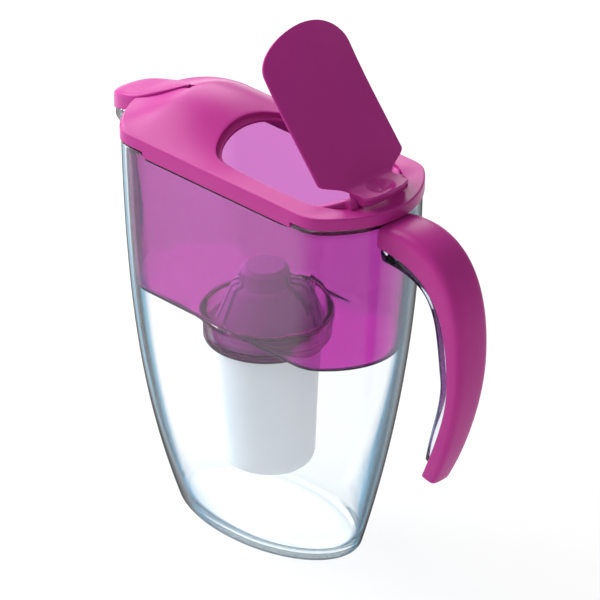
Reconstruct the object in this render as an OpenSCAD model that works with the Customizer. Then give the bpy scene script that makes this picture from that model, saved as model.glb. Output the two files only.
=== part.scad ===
// Water filter pitcher with a flip lid: clear jug with a clear handle core and a coloured
// handle cover, a tinted hopper that hangs in the jug, a filter cartridge in the hopper's
// well, and a lid with a flip flap over the fill opening and a leaf flap over the spout.
// The origin is the middle of the jug's base, on the surface it stands on. The spout points
// along -X, the handle along +X.

/* [Jug] */
// Height of the jug's rim
jug_h = 241; // [225:0.5:260]
// Length of the base, spout end to handle end
base_l = 134; // [120:1:144]
// Width of the base
base_w = 75.6; // [71:0.2:79]
// Reach of the rim towards the handle, from the middle
rim_back = 104; // [99:0.5:109]
// Reach of the rim towards the spout, without the spout
rim_front = 97; // [92:0.5:102]
// Width that the rounded ends would grow to without the flat sides
end_w = 141; // [132:1:150]
// Distance between the flat sides, carried down to the base
flats_low_w = 83.4; // [80:0.2:87]
// Distance between the flat sides at the rim
flats_top_w = 91.4; // [88:0.2:95]
// Wall thickness of the jug
jug_wall = 2.6; // [2:0.1:3.2]
// Thickness of the jug's floor
jug_floor = 4.4; // [3:0.1:6]
// How far the spout stands out from the rim
spout_reach = 29; // [22:0.5:34]
// Height of the spout, from where it starts on the wall up to its lip
spout_rise = 74; // [60:1:90]
// How far the spout's lip lies below the rim
spout_lip_drop = 9.5; // [8:0.5:12]
// Half width of the spout
spout_half_w = 19; // [16:0.5:22]

/* [Handle] */
// How far the handle stands out from the rim
handle_reach = 61; // [55:0.5:68]
// Height from the handle's tip up to the rim
handle_drop = 159; // [145:0.5:175]
// Width of the handle at the top
handle_w = 27.6; // [24:0.2:32]
// Width of the handle at its tip
handle_tip_w = 14; // [11:0.5:18]
// Wall thickness of the handle cover
cover_wall = 2.4; // [1.8:0.1:3]
// Gap between the cover and the core inside it
cover_gap = 0.2; // [0.1:0.05:0.4]

/* [Hopper] */
// Depth of the hopper, rim down to its floor's outer edge
hopper_depth = 97; // [85:0.5:110]
// Wall thickness of the hopper
hopper_wall = 2; // [1.6:0.1:2.6]
// Clearance between the hopper's wall and the jug
hopper_gap = 1.2; // [0.8:0.1:2]
// Outer diameter of the well that holds the cartridge
well_d = 75; // [72:0.5:78]
// Height of the well below the hopper's floor
well_h = 16; // [12:0.5:20]
// How far the hopper's floor falls towards the well
floor_fall = 2.5; // [1:0.25:4]

/* [Cartridge] */
// Diameter of the cartridge at its top
cartridge_d = 61; // [58:0.5:63]
// Diameter of the cartridge at its bottom cap
cartridge_low_d = 54; // [50:0.5:56]
// Length of the cartridge below its flange
cartridge_l = 87; // [75:0.5:95]
// Wall thickness of the cartridge
cartridge_wall = 1.6; // [1.2:0.1:2.2]
// Height of the slotted cap above the flange
cap_h = 40; // [32:0.5:46]
// Diameter of the cap's flat shoulder
cap_top_d = 40; // [34:0.5:44]
// Number of inlet slots on each side of the cap
cap_slots = 4; // [3:1:5]

/* [Lid] */
// How far the lid stands out over the jug's rim
lid_over = 0.9; // [0.6:0.1:1.2]
// Height of the lid's edge
lid_edge_h = 6.2; // [5:0.1:7.5]
// Thickness of the lid
lid_t = 2.4; // [2:0.1:3]
// Height of the dome over the lid's edge
dome_h = 17; // [12:0.5:20]
// Place of the dome's crest in front of the middle
crest_x = 56; // [50:1:62]
// How far the side bands hang below the lid's edge
band_h = 3.2; // [2:0.1:4.5]
// Width of the fill opening
opening_w = 70; // [66:0.5:72]
// Reach of the fill opening towards the spout
opening_front = 20.5; // [17:0.5:25]

/* [Flip flap] */
// Angle that the flap stands open at
flap_open = 50; // [30:1:60]
// Thickness of the flap
flap_t = 2; // [1.6:0.1:2.4]
// Gap round the closed flap
flap_gap = 1.4; // [1.2:0.1:1.8]
// Diameter of the flap's hinge pins
hinge_pin_d = 4.4; // [3.6:0.1:5]
// Running clearance of the hinge pins, on the radius
hinge_clear = 0.08; // [0.05:0.01:0.1]
// Width of the thumb tab
tab_w = 33; // [28:0.5:36]
// Length of the thumb tab
tab_l = 23; // [19:0.5:25]
// Angle between the thumb tab and the panel
tab_bend = 50; // [40:1:55]
// Rise of the flap's middle over its edges, at the hinge
flap_crown = 2.5; // [1:0.5:4]

/* [Spout flap] */
// Length of the leaf flap over the spout
leaf_l = 63; // [58:0.5:66]
// Width of the leaf flap
leaf_w = 31; // [27:0.5:33]
// Thickness of the leaf flap
leaf_t = 1.8; // [1.5:0.1:2.2]
// Diameter of the leaf flap's hinge pins
leaf_pin_d = 2; // [1.8:0.1:2.4]

/* [Hidden] */
$fn = 96;

clear_c = [0.82, 0.92, 0.97, 0.35];
magenta = [0.72, 0.24, 0.58];
tint = [0.70, 0.28, 0.65, 0.5];
white_c = [0.94, 0.95, 0.97];

// Points on the round end and on the flat of a quarter section
end_n = 8;
flat_n = 3;
// Softness of the crease between a round end and a flat side
crease_r = 14;
// Powers of the growth curves from base to rim: handle side, spout side, width
grow_back = 2.0;
grow_front = 4.0;
grow_width = 1.75;

function smooth_min(a, b, r) = let (h = max(r - abs(a - b), 0) / r) min(a, b) - h * h * r / 4;
function mix(a, b, t) = a + (b - a) * t;
function clamp01(v) = max(0, min(1, v));
function grown(low, top, z, p) = mix(low, top, 1 - pow(1 - clamp01(z / jug_h), p));

// The jug's outer section at height z, drawn in by d
function back_at(z, d = 0) = grown(base_l / 2, rim_back, z, grow_back) - d;
function front_at(z, d = 0) = grown(base_l / 2, rim_front, z, grow_front) - d;
function width_at(z, d = 0) = grown(base_w / 2, end_w / 2, z, grow_width) - d;
function flat_at(z, d = 0) = mix(flats_low_w, flats_top_w, z / jug_h) / 2 - d;
spout_top_z = jug_h - spout_lip_drop;
function beak_at(z) = spout_reach * pow(clamp01((z - spout_top_z + spout_rise) / spout_rise), 1.2);
function beak_shape(y) = pow(max(0, 1 - pow(y / spout_half_w, 2)), 1.5);

// Angles of a quarter section, with one point on the crease
function quarter(b, w) =
    let (c = min(72, asin(min(1, w / b))))
    [for (i = [0:end_n - 1]) c * i / end_n, for (j = [0:flat_n]) c + (90 - c) * j / flat_n];

function end_point(a, b, w, t) = [a * cos(t), smooth_min(b * sin(t), w, crease_r)];

// A plan outline: round ends of reach a_back and a_front, flats at w, beak on the spout end
function plan(a_back, a_front, b, w, beak = 0) =
    let (q = quarter(b, w), n = len(q) - 1,
         back = [for (t = q) end_point(a_back, b, w, t)],
         front = [for (t = q) let (p = end_point(a_front, b, w, t))
                  [-p[0] - beak * beak_shape(p[1]), p[1]]])
    concat([for (i = [0:n - 1]) back[i]],
           [for (i = [n:-1:1]) front[i]],
           [for (i = [0:n - 1]) [front[i][0], -front[i][1]]],
           [for (i = [n:-1:1]) [back[i][0], -back[i][1]]]);

function body_plan(z, d = 0, beak = 0) =
    plan(back_at(z, d), front_at(z, d), width_at(z, d), flat_at(z, d), beak);
function at_z(outline, z) = [for (p = outline) [p[0], p[1], z]];
function body_ring(z, d = 0, beak = 0) = at_z(body_plan(z, d, beak), z);
function blend(ring_a, ring_b, t) = [for (i = [0:len(ring_a) - 1]) mix(ring_a[i], ring_b[i], t)];

function skin_faces(n, m, closed) =
    [for (i = [0:closed ? m - 1 : m - 2], j = [0:n - 1])
        let (k = (j + 1) % n, a = i * n, b = ((i + 1) % m) * n)
        each [[a + j, b + j, b + k], [a + j, b + k, a + k]]];

// Solid between rings: closed at both ends, or running round into itself
module loft(rings, closed = false) {
    n = len(rings[0]);
    m = len(rings);
    caps = closed ? [] : [[for (j = [0:n - 1]) j], [for (j = [n - 1:-1:0]) (m - 1) * n + j]];
    polyhedron([for (r = rings) each r], concat(skin_faces(n, m, closed), caps));
}

function bezier(p, t) =
    pow(1 - t, 3) * p[0] + 3 * t * pow(1 - t, 2) * p[1] + 3 * t * t * (1 - t) * p[2] + pow(t, 3) * p[3];

// Jug
notch_front = 56;
notch_back = 66;
notch_drop = band_h + 0.5;
base_edge = 4;

jug_levels = [9, 18, 30, 46, 68, 95, 125, 155, 180, 202, 220, jug_h - spout_lip_drop - 5];

function jug_ring(z, d) = body_ring(z, d, beak_at(z));

module jug_shell() {
    outer = concat([body_ring(0, base_edge), body_ring(0.9, base_edge * 0.35), body_ring(3.5, 0.3)],
                   [for (z = jug_levels) jug_ring(z, 0)], [rim_ring(0)]);
    inner = concat([rim_ring(jug_wall)],
                   [for (i = [len(jug_levels) - 1:-1:1]) jug_ring(jug_levels[i], jug_wall)],
                   [body_ring(jug_floor + 5, jug_wall + 0.5), body_ring(jug_floor + 1.4, jug_wall + 2.2),
                    body_ring(jug_floor, jug_wall + 6)]);
    loft(concat(outer, inner));
}

// The rim, which dips to the spout's lip
function rim_ring(d) =
    [for (p = body_plan(jug_h, d, spout_reach))
        [p[0], p[1], jug_h - spout_lip_drop * beak_shape(p[1]) * (p[0] < -rim_front * 0.8 ? 1 : 0)]];

module jug() {
    color(clear_c) {
        difference() {
            union() {
                jug_shell();
                handle_core();
            }
            for (s = [-1, 1])
                translate([-notch_front, s * flats_top_w / 2 - 6, jug_h - notch_drop])
                    cube([notch_front + notch_back, 12, notch_drop + 5]);
        }
    }
}

// Handle curves in the XZ plane, in two pieces each: down to the widest place, then to the tip.
// Their points are typed for a reach of 61 and grow with it.
handle_u = handle_reach / 61;
handle_x = rim_back + handle_reach;
tip_z = jug_h - handle_drop;
belly_z = jug_h - 66.5 * handle_u;
function curve(pieces, s) = let (i = s < 1 ? 0 : 1) bezier(pieces[i], s - i);
function by(z, dx, dz) = [handle_x + dx * handle_u, z + dz * handle_u];
outer_curve = [[by(jug_h, -61, -0.6), by(jug_h, -21, 8.5), by(jug_h, 1, -15.5), by(belly_z, 0, 0)],
               [by(belly_z, 0, 0), by(belly_z, 0, -30), by(tip_z, -12, 24), by(tip_z, -25.5, 0)]];
edge_curve = [[by(jug_h, -61, -15), by(jug_h, -19, -17.5), by(jug_h, -10.5, -41.5), by(belly_z, -10.5, -15)],
              [by(belly_z, -10.5, -15), by(belly_z, -10.5, -37), by(tip_z, -23, 28), by(tip_z, -35, 2)]];
core_curve = [[by(jug_h, -61, -26.5), by(jug_h, -21, -27.5), by(jug_h, -25, -45.5), by(belly_z, -20, -20)],
              [by(belly_z, -20, -20), by(belly_z, -20, -40), by(tip_z, -33, 30), by(tip_z, -35, 4)]];
function handle_half_w(s) = mix(handle_w, handle_tip_w, pow(clamp01(s / 2), 2.2)) / 2;

// Across the handle: share of the half width, and share of the depth from inner edge to crown
cover_profile = [[1, 0], [1, 0.5], [0.965, 0.74], [0.86, 0.9], [0.5, 0.98], [0, 1],
                 [-0.5, 0.98], [-0.86, 0.9], [-0.965, 0.74], [-1, 0.5], [-1, 0]];
core_floor = [[-0.92, 0], [-0.5, -0.03], [0, -0.04], [0.5, -0.03], [0.92, 0]];

// A point of a section: y across, r from the inner edge a to the crown b
function section_point(a, b, y, r) = let (p = mix(a, b, r)) [p[0], y, p[1]];
// The first section follows the jug's wall
function on_wall(p, gap) =
    let (b = width_at(p[2]), x = back_at(p[2]) * sqrt(1 - pow(p[1] / b, 2))) [x + gap, p[1], p[2]];

cover_end = 2;
core_end = 1.84;
stations = 7;

function cover_section(s) =
    let (a = curve(edge_curve, s), b = curve(outer_curve, s), w = handle_half_w(s),
         depth = norm(b - a), open = clamp01((core_end + 0.08 - s) / 0.04),
         pocket = mix(0.04, 1 - cover_wall / depth, open),
         outer = [for (p = cover_profile) section_point(a, b, p[0] * w, p[1])],
         inner = [for (i = [len(cover_profile) - 1:-1:0]) let (p = cover_profile[i])
                  section_point(a, b, p[0] * (w - cover_wall), p[1] * pocket)],
         ring = concat(outer, inner))
    s == 0 ? [for (p = ring) on_wall(p, cover_gap)] : ring;

function core_section(s) =
    let (a = curve(edge_curve, s), b = curve(outer_curve, s), c = curve(core_curve, s),
         w = handle_half_w(s) - cover_wall - cover_gap,
         pocket = 1 - (cover_wall + cover_gap) / norm(b - a),
         top = [for (p = cover_profile) section_point(a, b, p[0] * w, p[1] * pocket)],
         low = [for (p = core_floor) let (q = c + (c - a) * -p[1]) [q[0], p[0] * w, q[1]]],
         ring = concat(top, low))
    s == 0 ? [for (p = ring) on_wall(p, -jug_wall * 0.6)] : ring;

// A strip section's end face, as quads between its outer and inner profile
function strip_cap(n, first, flip) =
    [for (i = [0:n / 2 - 2])
        let (q = [first + i, first + i + 1, first + n - 2 - i, first + n - 1 - i])
        each flip ? [[q[2], q[1], q[0]], [q[3], q[2], q[0]]] : [[q[0], q[1], q[2]], [q[0], q[2], q[3]]]];

module handle_cover() {
    rings = [for (i = [0:2 * stations]) cover_section(min(i / stations, cover_end))];
    n = len(rings[0]);
    m = len(rings);
    color(magenta)
        polyhedron([for (r = rings) each r],
                   concat(skin_faces(n, m, false), strip_cap(n, 0, false), strip_cap(n, (m - 1) * n,
                        true)));
}

module handle_core() {
    loft([for (i = [0:2 * stations - 1]) core_section(core_end * i / (2 * stations - 1))]);
}

// Hopper
hopper_in = jug_wall + hopper_gap;
hopper_floor_z = jug_h - hopper_depth;
hopper_lip_t = 1.4;
hopper_top_z = jug_h + hopper_lip_t;
lip_side_in = 2.95;
rim_band = 7;
well_top_z = hopper_floor_z - floor_fall;
well_low_z = well_top_z - well_h;
well_wall = 2;
seat_t = 3;
seat_z = well_low_z + seat_t;
cartridge_gap = 0.5;

function hopper_ring(z, d) = body_ring(z, hopper_in + d);
function circle_ring(r, n, z) = [for (i = [0:n - 1]) [r * cos(360 * i / n), r * sin(360 * i / n), z]];

module hopper() {
    fz = hopper_floor_z;
    wall_in = hopper_wall;
    lip_out = at_z(plan(rim_back - 0.6, rim_front - 0.6, end_w / 2 - 0.6,
         flats_top_w / 2 - lip_side_in), 0);
    function lip(z) = [for (p = lip_out) [p[0], p[1], z]];
    throat = well_d / 2 - well_wall + 0.4;
    outer = concat([hopper_ring(fz, 3.4), hopper_ring(fz + 1.2, 1.2), hopper_ring(fz + 4, 0)],
                   [for (z = [fz + 30, fz + 60, jug_h - rim_band]) hopper_ring(z, 0)],
                   [hopper_ring(jug_h - rim_band, -0.7), hopper_ring(jug_h, -0.7), lip(jug_h),
                        lip(hopper_top_z)]);
    inner = concat([hopper_ring(hopper_top_z, wall_in)],
                   [for (z = [fz + 60, fz + 30, fz + 5.5]) hopper_ring(z, wall_in)],
                   [hopper_ring(fz + hopper_wall, wall_in + 1.6)]);
    rings = concat(outer, inner);
    under = circle_ring(throat, len(rings[0]), well_top_z);
    over = circle_ring(throat, len(rings[0]), well_top_z + hopper_wall);
    color(tint) {
        union() {
            loft(concat(rings, [over, under]), closed = true);
            rotate_extrude() {
                polygon([[well_d / 2 - well_wall, seat_z], [cartridge_d / 2 + cartridge_gap, seat_z],
                         [cartridge_d / 2 + cartridge_gap, well_low_z], [well_d / 2 - 1, well_low_z],
                         [well_d / 2, well_low_z + 1], [well_d / 2, well_top_z + hopper_wall + 0.8],
                         [well_d / 2 - well_wall, well_top_z + hopper_wall + 0.8]]);
            }
        }
    }
}

// Cartridge
flange_r = well_d / 2 - well_wall - cartridge_gap;
seal_h = 1.2;
flange_t = 2;
flange_z = seat_z + seal_h;
flange_top = flange_z + flange_t;
cap_base_z = flange_top;
body_low_z = flange_z - cartridge_l;
base_cap_h = 14;
felt_t = 2;
bed_top_z = flange_z - 4;
bed_low_z = body_low_z + base_cap_h + felt_t;
screen_t = 0.8;
bed_gap = 0.1;

function cartridge_r(z) = mix(cartridge_low_d, cartridge_d, clamp01((z - body_low_z) / cartridge_l)) / 2;

module cartridge_body() {
    low = body_low_z + base_cap_h;
    color(white_c)
        rotate_extrude()
            polygon([[cartridge_r(low), low], [cartridge_r(flange_z), flange_z], [flange_r, flange_z],
                     [flange_r, flange_top], [cartridge_d / 2 - cartridge_wall, flange_top],
                     [cartridge_r(flange_z) - cartridge_wall, flange_z - 1],
                     [cartridge_r(low) - cartridge_wall, low]]);
}

module cartridge_base() {
    low = body_low_z + base_cap_h;
    r = cartridge_r(low);
    color(white_c)
        difference() {
            rotate_extrude()
                polygon([[0, body_low_z + 1], [r - 6, body_low_z], [r - 3.5, body_low_z], [r - 1.6,
                     body_low_z + 1.4],
                         [r - 0.5, body_low_z + 4.5], [r, low], [r - cartridge_wall - bed_gap, low],
                         [r - cartridge_wall - bed_gap, low + 5], [r - 2 * cartridge_wall, low + 5],
                         [r - 2 * cartridge_wall, low], [r - 2.6, body_low_z + 5], [r - 5, body_low_z + 3],
                         [0, body_low_z + 3]]);
            for (a = [0:30:330])
                rotate(a)
                    translate([9, -1, body_low_z - 1])
                        cube([9, 2, 6]);
        }
}

module bottom_felt() {
    color([0.85, 0.85, 0.83])
        translate([0, 0, bed_low_z - felt_t])
            cylinder(h = felt_t, r = cartridge_r(bed_low_z) - 2 * cartridge_wall - 0.6);
}

module sorbent_bed() {
    z0 = body_low_z + base_cap_h + 5.2;
    color([0.2, 0.2, 0.22])
        translate([0, 0, z0])
            cylinder(h = bed_top_z - z0, r1 = cartridge_r(z0) - cartridge_wall - bed_gap,
                     r2 = cartridge_r(bed_top_z) - cartridge_wall - bed_gap);
}

module top_screen() {
    color([0.9, 0.9, 0.9])
        translate([0, 0, bed_top_z])
            cylinder(h = screen_t, r = cartridge_r(bed_top_z) - cartridge_wall - 0.15);
}

module cartridge_seal() {
    color([0.75, 0.75, 0.78])
        translate([0, 0, seat_z])
            difference() {
                cylinder(h = seal_h, r = flange_r);
                translate([0, 0, -1])
                    cylinder(h = seal_h + 2, r = cartridge_d / 2 + cartridge_gap);
            }
}

module cartridge_cap() {
    r0 = cartridge_d / 2;
    r1 = cap_top_d / 2;
    shoulder = cap_base_z + cap_h * 0.72;
    knob_r = r1 * 0.72;
    top = cap_base_z + cap_h;
    color(white_c)
        difference() {
            rotate_extrude()
                polygon([[0, top], [knob_r - 3, top], [knob_r, top - 2.5], [knob_r + 1, shoulder + 0.5],
                         [r1 - 2, shoulder], [r1, shoulder - 1.5], [r0, cap_base_z + 2], [flange_r,
                              cap_base_z + 2],
                         [flange_r, cap_base_z], [r0 - 2 * cartridge_wall, cap_base_z],
                         [r1 - 2, shoulder - 3], [knob_r - 1.5, shoulder - 1.5], [knob_r - 3.5,
                              top - 2], [0, top - 2]]);
            for (side = [-1, 1], i = [0:cap_slots - 1])
                rotate(side * 90 - 45 + (i - (cap_slots - 1) / 2) * 20)
                    translate([6, -1.6, cap_base_z + 5])
                        cube([r0, 3.2, cap_h - 9]);
        }
}

// Lid
lid_low_z = jug_h + hopper_lip_t + 0.1;
lid_top_z = lid_low_z + lid_edge_h;
lid_back = rim_back + lid_over + 1.1;
lid_front = rim_front + lid_over + 0.6;
lid_half_w = flats_top_w / 2 + lid_over;
dome_half_w = opening_w / 2 + 4;
opening_back = lid_back - 11.4;
opening_side_back = 62;

// Height of the lid's upper surface, closed flap and all
function crown_x(x) =
    x > -crest_x
        ? (flap_crown + (dome_h - flap_crown) * pow(0.5 + 0.5 * cos(180 * clamp01((x + crest_x) / 100)), 1.5))
          * (0.5 + 0.5 * cos(180 * clamp01((x - panel_back) / 16)))
        : dome_h * (0.5 + 0.5 * cos(180 * clamp01((-crest_x - x) / (lid_front - crest_x))));
function crown_y(y) = pow(max(0, 1 - pow(y / dome_half_w, 2)), 1.1);
function lid_z(x, y) = lid_top_z + crown_x(x) * crown_y(y);
function on_lid(outline, drop) = [for (p = outline) [p[0], p[1], lid_z(p[0], p[1]) - drop]];

// Plan outlines of the lid and of the fill opening, point for point
function lid_plan(d) = plan(lid_back - d, lid_front - d, end_w / 2 - d, lid_half_w - d);
function opening_half(d) =
    let (w = opening_w / 2 - d, rear = opening_back - opening_side_back - max(-ledge_rear_wall, min(d,
         ledge_rear_w)))
    concat([for (i = [0:end_n - 1]) let (a = 90 * i / end_n) [opening_side_back + rear * cos(a),
         w * sin(a)]],
           [for (i = [0:2 * flat_n - 1]) [opening_side_back * (1 - i / 2 / flat_n), w]],
           [for (i = [0:end_n]) let (a = 90 + 90 * i / end_n) [(opening_front - d) * cos(a), w * sin(a)]]);
function both_sides(half) =
    concat(half, [for (i = [len(half) - 2:-1:1]) [half[i][0], -half[i][1]]]);
function opening_plan(d) = both_sides(opening_half(d));

// Skirt that plugs into the hopper
skirt_in = hopper_in + hopper_wall + 0.6;
skirt_t = 1.4;
skirt_h = 7;
function skirt_plan(d) = plan(rim_back - d, rim_front - d, end_w / 2 - d, flats_top_w / 2 - d);

// Hinge axis of the flip flap, and the deck that carries it
hinge_x = 86.5;
hinge_z = lid_top_z + 0.3;
deck_front = 74;
deck_z = lid_low_z - skirt_h + 2;
deck_t = 3.6;
cheek_in = tab_w / 2 + 0.6;
cheek_w = 5.5;
cheek_r = 4.6;
pin_l = 3.6;
ledge_drop = flap_t + 0.9;
ledge_w = 3.2;
ledge_t = 1.6;
ledge_rear_w = 0.8;
ledge_wall = 1.2;
ledge_rear_wall = 0.6;

module lid_shell() {
    edge = [at_z(lid_plan(0), lid_low_z), at_z(lid_plan(0), lid_top_z - 1.6), at_z(lid_plan(0.5),
         lid_top_z - 0.5),
            at_z(lid_plan(1.8), lid_top_z)];
    rim = on_lid(opening_plan(0), 0);
    dome = [for (t = [0.15, 0.3, 0.45, 0.6, 0.75, 0.88]) on_lid(blend(lid_plan(1.8), opening_plan(0),
         t), 0)];
    ledge = [on_lid(opening_plan(0), ledge_drop), on_lid(opening_plan(ledge_w), ledge_drop),
             on_lid(opening_plan(ledge_w), ledge_drop + ledge_t), on_lid(opening_plan(-ledge_wall),
                  ledge_drop + ledge_t)];
    vault = [for (t = [0.8, 0.5, 0.25]) on_lid(blend(skirt_plan(skirt_in + skirt_t),
         opening_plan(-ledge_wall), t), lid_t)];
    skirt = [at_z(skirt_plan(skirt_in + skirt_t), lid_top_z - lid_t),
         at_z(skirt_plan(skirt_in + skirt_t), lid_low_z - skirt_h),
             at_z(skirt_plan(skirt_in), lid_low_z - skirt_h), at_z(skirt_plan(skirt_in), lid_low_z)];
    loft(concat(edge, dome, [rim], ledge, vault, skirt), closed = true);
}

// Floor behind the opening, under the thumb tab
module hinge_deck() {
    rim = [for (p = skirt_plan(skirt_in + skirt_t / 2)) if (p[0] > deck_front) p];
    left = [for (p = rim) if (p[1] >= 0) p];
    right = [for (p = rim) if (p[1] < 0) p];
    y = left[len(left) - 1][1];
    translate([0, 0, deck_z])
        linear_extrude(deck_t)
            polygon(concat(left, [[deck_front, y], [deck_front, -y]], right));
}

// Boss of a hinge pin, on a web that stands on the deck and slopes up from the lid's opening
module hinge_cheek() {
    translate([hinge_x, cheek_in, hinge_z])
        rotate([-90, 0, 0])
            cylinder(h = cheek_w, r = cheek_r);
    translate([0, cheek_in + cheek_w, 0])
        rotate([90, 0, 0])
            linear_extrude(cheek_w)
                polygon([[deck_front, deck_z + deck_t / 2], [hinge_x + 3, deck_z + deck_t / 2],
                         [hinge_x + cheek_r * 0.8, hinge_z - cheek_r * 0.6], [hinge_x, hinge_z],
                         [hinge_x - cheek_r * 0.5, hinge_z + cheek_r * 0.866], [deck_front,
                              lid_top_z - 1.2]]);
}

module side_band() {
    translate([-notch_front + 0.5, flats_top_w / 2 - jug_wall, lid_low_z - band_h])
        cube([notch_front + notch_back - 1, jug_wall + lid_over - 0.4, band_h + 1.5]);
}

// Outline of the leaf flap in plan, from its tip to its front
leaf_tip_x = 64;
leaf_slope = 0.393;
leaf_sink = 0.4;
leaf_tip_z = lid_top_z + dome_h - leaf_sink;
leaf_nib = 0.9;
function leaf_half_w(t, grow = 0) =
    (leaf_w / 2 + grow) * (t < 0.6 ? sin(90 * t / 0.6) : sqrt(max(0, 1 - pow((t - 0.6) / 0.4, 2))));
function leaf_x(t) = -leaf_tip_x - leaf_l * t;
function leaf_z(t) = leaf_tip_z - leaf_l * (leaf_slope * t + 0.05 * pow(t, 6));
leaf_gap = 0.8;
leaf_tip_gap = 2.6;
slot_nib = 2.8;
leaf_steps = [for (i = [0:14]) i / 14];

module spout_slot() {
    side = [for (t = leaf_steps)
                if (t < 0.95)
                    [leaf_x(t) + (t == 0 ? leaf_tip_gap : 0), max(slot_nib, leaf_half_w(t, leaf_gap))]];
    last = side[len(side) - 1];
    translate([0, 0, lid_low_z - skirt_h - 1])
        linear_extrude(dome_h + skirt_h + lid_edge_h + 5)
            polygon(concat(side, [[leaf_x(1.1), last[1]], [leaf_x(1.1), -last[1]]],
                           [for (i = [len(side) - 1:-1:0]) [side[i][0], -side[i][1]]]));
}

module lid() {
    color(magenta)
        difference() {
            union() {
                difference() {
                    lid_shell();
                    spout_slot();
                }
                hinge_deck();
                for (s = [0, 1])
                    mirror([0, s, 0]) {
                        hinge_cheek();
                        side_band();
                        leaf_cheek();
                    }
            }
            translate([hinge_x, 0, hinge_z])
                rotate([90, 0, 0])
                    cylinder(h = 2 * (cheek_in + pin_l + 0.4), r = hinge_pin_d / 2 + hinge_clear,
                         center = true);
            translate([leaf_hinge_x, 0, leaf_hinge_z])
                rotate([90, 0, 0])
                    cylinder(h = 2 * (leaf_hinge_half + leaf_pin_l + 0.3),
                         r = leaf_pin_d / 2 + hinge_clear, center = true);
        }
}

// The flip flap is drawn closed, with its thumb tab standing up, and then swung open
panel_back = 70;
panel_half_w = opening_w / 2 - flap_gap;
flap_start = 2;
flap_front = opening_front + flap_start - 1.8 * flap_gap;
tab_rise = (hinge_x - panel_back) * sin(tab_bend) + (lid_top_z - hinge_z) * cos(tab_bend);
tab_front = -(hinge_x - panel_back) * cos(tab_bend) + (lid_top_z - hinge_z) * sin(tab_bend);
tab_corner_r = 4;
flap_rows = [1, 0.8, 0.5, 0.2, -0.2, -0.5, -0.8, -1];

module swing(angle) {
    translate([hinge_x, 0, hinge_z])
        rotate([0, angle, 0])
            translate([-hinge_x, 0, -hinge_z])
                children();
}

// Half width of the flap at distance d behind the bend, or at x on the panel
function panel_w(x) =
    x < flap_start ? max(0.8, panel_half_w * sqrt(1 - pow(min(1, (flap_start - x) / flap_front),
         2))) : panel_half_w;
function tab_half_w(d) =
    d < 9 ? mix(panel_half_w, tab_w / 2 + 0.3, d / 9)
          : tab_w / 2 - tab_corner_r + sqrt(pow(tab_corner_r, 2) - pow(max(0,
               d - tab_l + tab_corner_r), 2));

// Rings across the flap; the panel's lie upright, the tab's turn with the bend
function flap_ring(x, d, lean) =
    let (w = d > 0 ? tab_half_w(d) : panel_w(x),
         top = [for (f = flap_rows) let (z = lid_z(min(x, panel_back), f * w))
                [x + d * cos(tab_bend), f * w, z + d * sin(tab_bend)]],
         low = [for (i = [len(top) - 1:-1:0]) top[i] + [flap_t * sin(lean), 0, -flap_t * cos(lean)]])
    concat(top, low);

module flap_sheet() {
    panel = [for (a = [0:11.25:90]) flap_ring(flap_start - flap_front * cos(a), 0, 0)];
    sides = [for (x = [17, 34, 52, panel_back - 2]) flap_ring(x, 0, 0)];
    tab = [flap_ring(panel_back, 0, tab_bend / 2)];
    rear = [for (d = [3, 9, tab_l - tab_corner_r, tab_l - 1.2, tab_l]) flap_ring(panel_back, d, tab_bend)];
    loft(concat(panel, sides, tab, rear));
}

// Rear lip, dimple and hinge lugs of the thumb tab, drawn level as they lie when it stands open
module tab_lugs() {
    lug_y = tab_w / 2 - 2.1;
    lug_top = tab_rise + flap_crown * crown_y(lug_y) - flap_t - 0.6;
    translate([hinge_x + tab_front + tab_l - 1.8, -tab_w / 2 + tab_corner_r, hinge_z + lug_top - 2.6])
        cube([1.6, tab_w - 2 * tab_corner_r, 4]);
    for (s = [-1, 1])
        hull() {
            translate([hinge_x, s * lug_y, hinge_z])
                rotate([90, 0, 0])
                    cylinder(h = 3, r = 4, center = true, $fn = 32);
            translate([hinge_x - 4, s * lug_y - 1.5, hinge_z + lug_top])
                cube([8, 3, 1.8]);
        }
    for (s = [0, 1])
        mirror([0, s, 0])
            translate([hinge_x, tab_w / 2 - 2, hinge_z])
                rotate([-90, 0, 0])
                    cylinder(h = 2 + 0.6 + pin_l, r = hinge_pin_d / 2);
}

module flip_flap() {
    color(magenta)
        swing(flap_open)
            difference() {
                union() {
                    flap_sheet();
                    swing(-tab_bend)
                        tab_lugs();
                }
                swing(-tab_bend)
                    translate([hinge_x + 2, 0, hinge_z + tab_rise + flap_crown + dimple_r - dimple_deep])
                        sphere(r = dimple_r, $fn = 64);
            }
}

dimple_r = 14;
dimple_deep = 1.3;

// Leaf flap over the spout, with turned-down edges and two hinge pins under its tip
leaf_hinge_x = -68;
leaf_hinge_drop = 4.6;
leaf_hinge_z = leaf_tip_z - leaf_hinge_drop;
leaf_hinge_half = 3.3;
leaf_pin_l = 2.2;
leaf_cheek_gap = 0.8;
leaf_cheek_size = [4.4, 3.8, 3.2];
leaf_cheek_low = 2.6;
leaf_cheek_ahead = 0.2;
leaf_post_size = [3, 3.8, 2.6];
leaf_post_low = 1;
leaf_lip = 4;
leaf_profile = [[-1, -1], [-1, -0.25], [-0.93, 0], [-0.5, 0.06], [0, 0.1], [0.5, 0.06], [0.93, 0], [1,
     -0.25], [1, -1]];

module leaf_cheek() {
    translate([leaf_hinge_x - leaf_cheek_size[0] / 2 + leaf_cheek_ahead, leaf_hinge_half + leaf_cheek_gap,
               leaf_hinge_z - leaf_cheek_low])
        cube([leaf_cheek_size[0], leaf_cheek_size[1] - leaf_cheek_gap, leaf_cheek_size[2]]);
}

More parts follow.
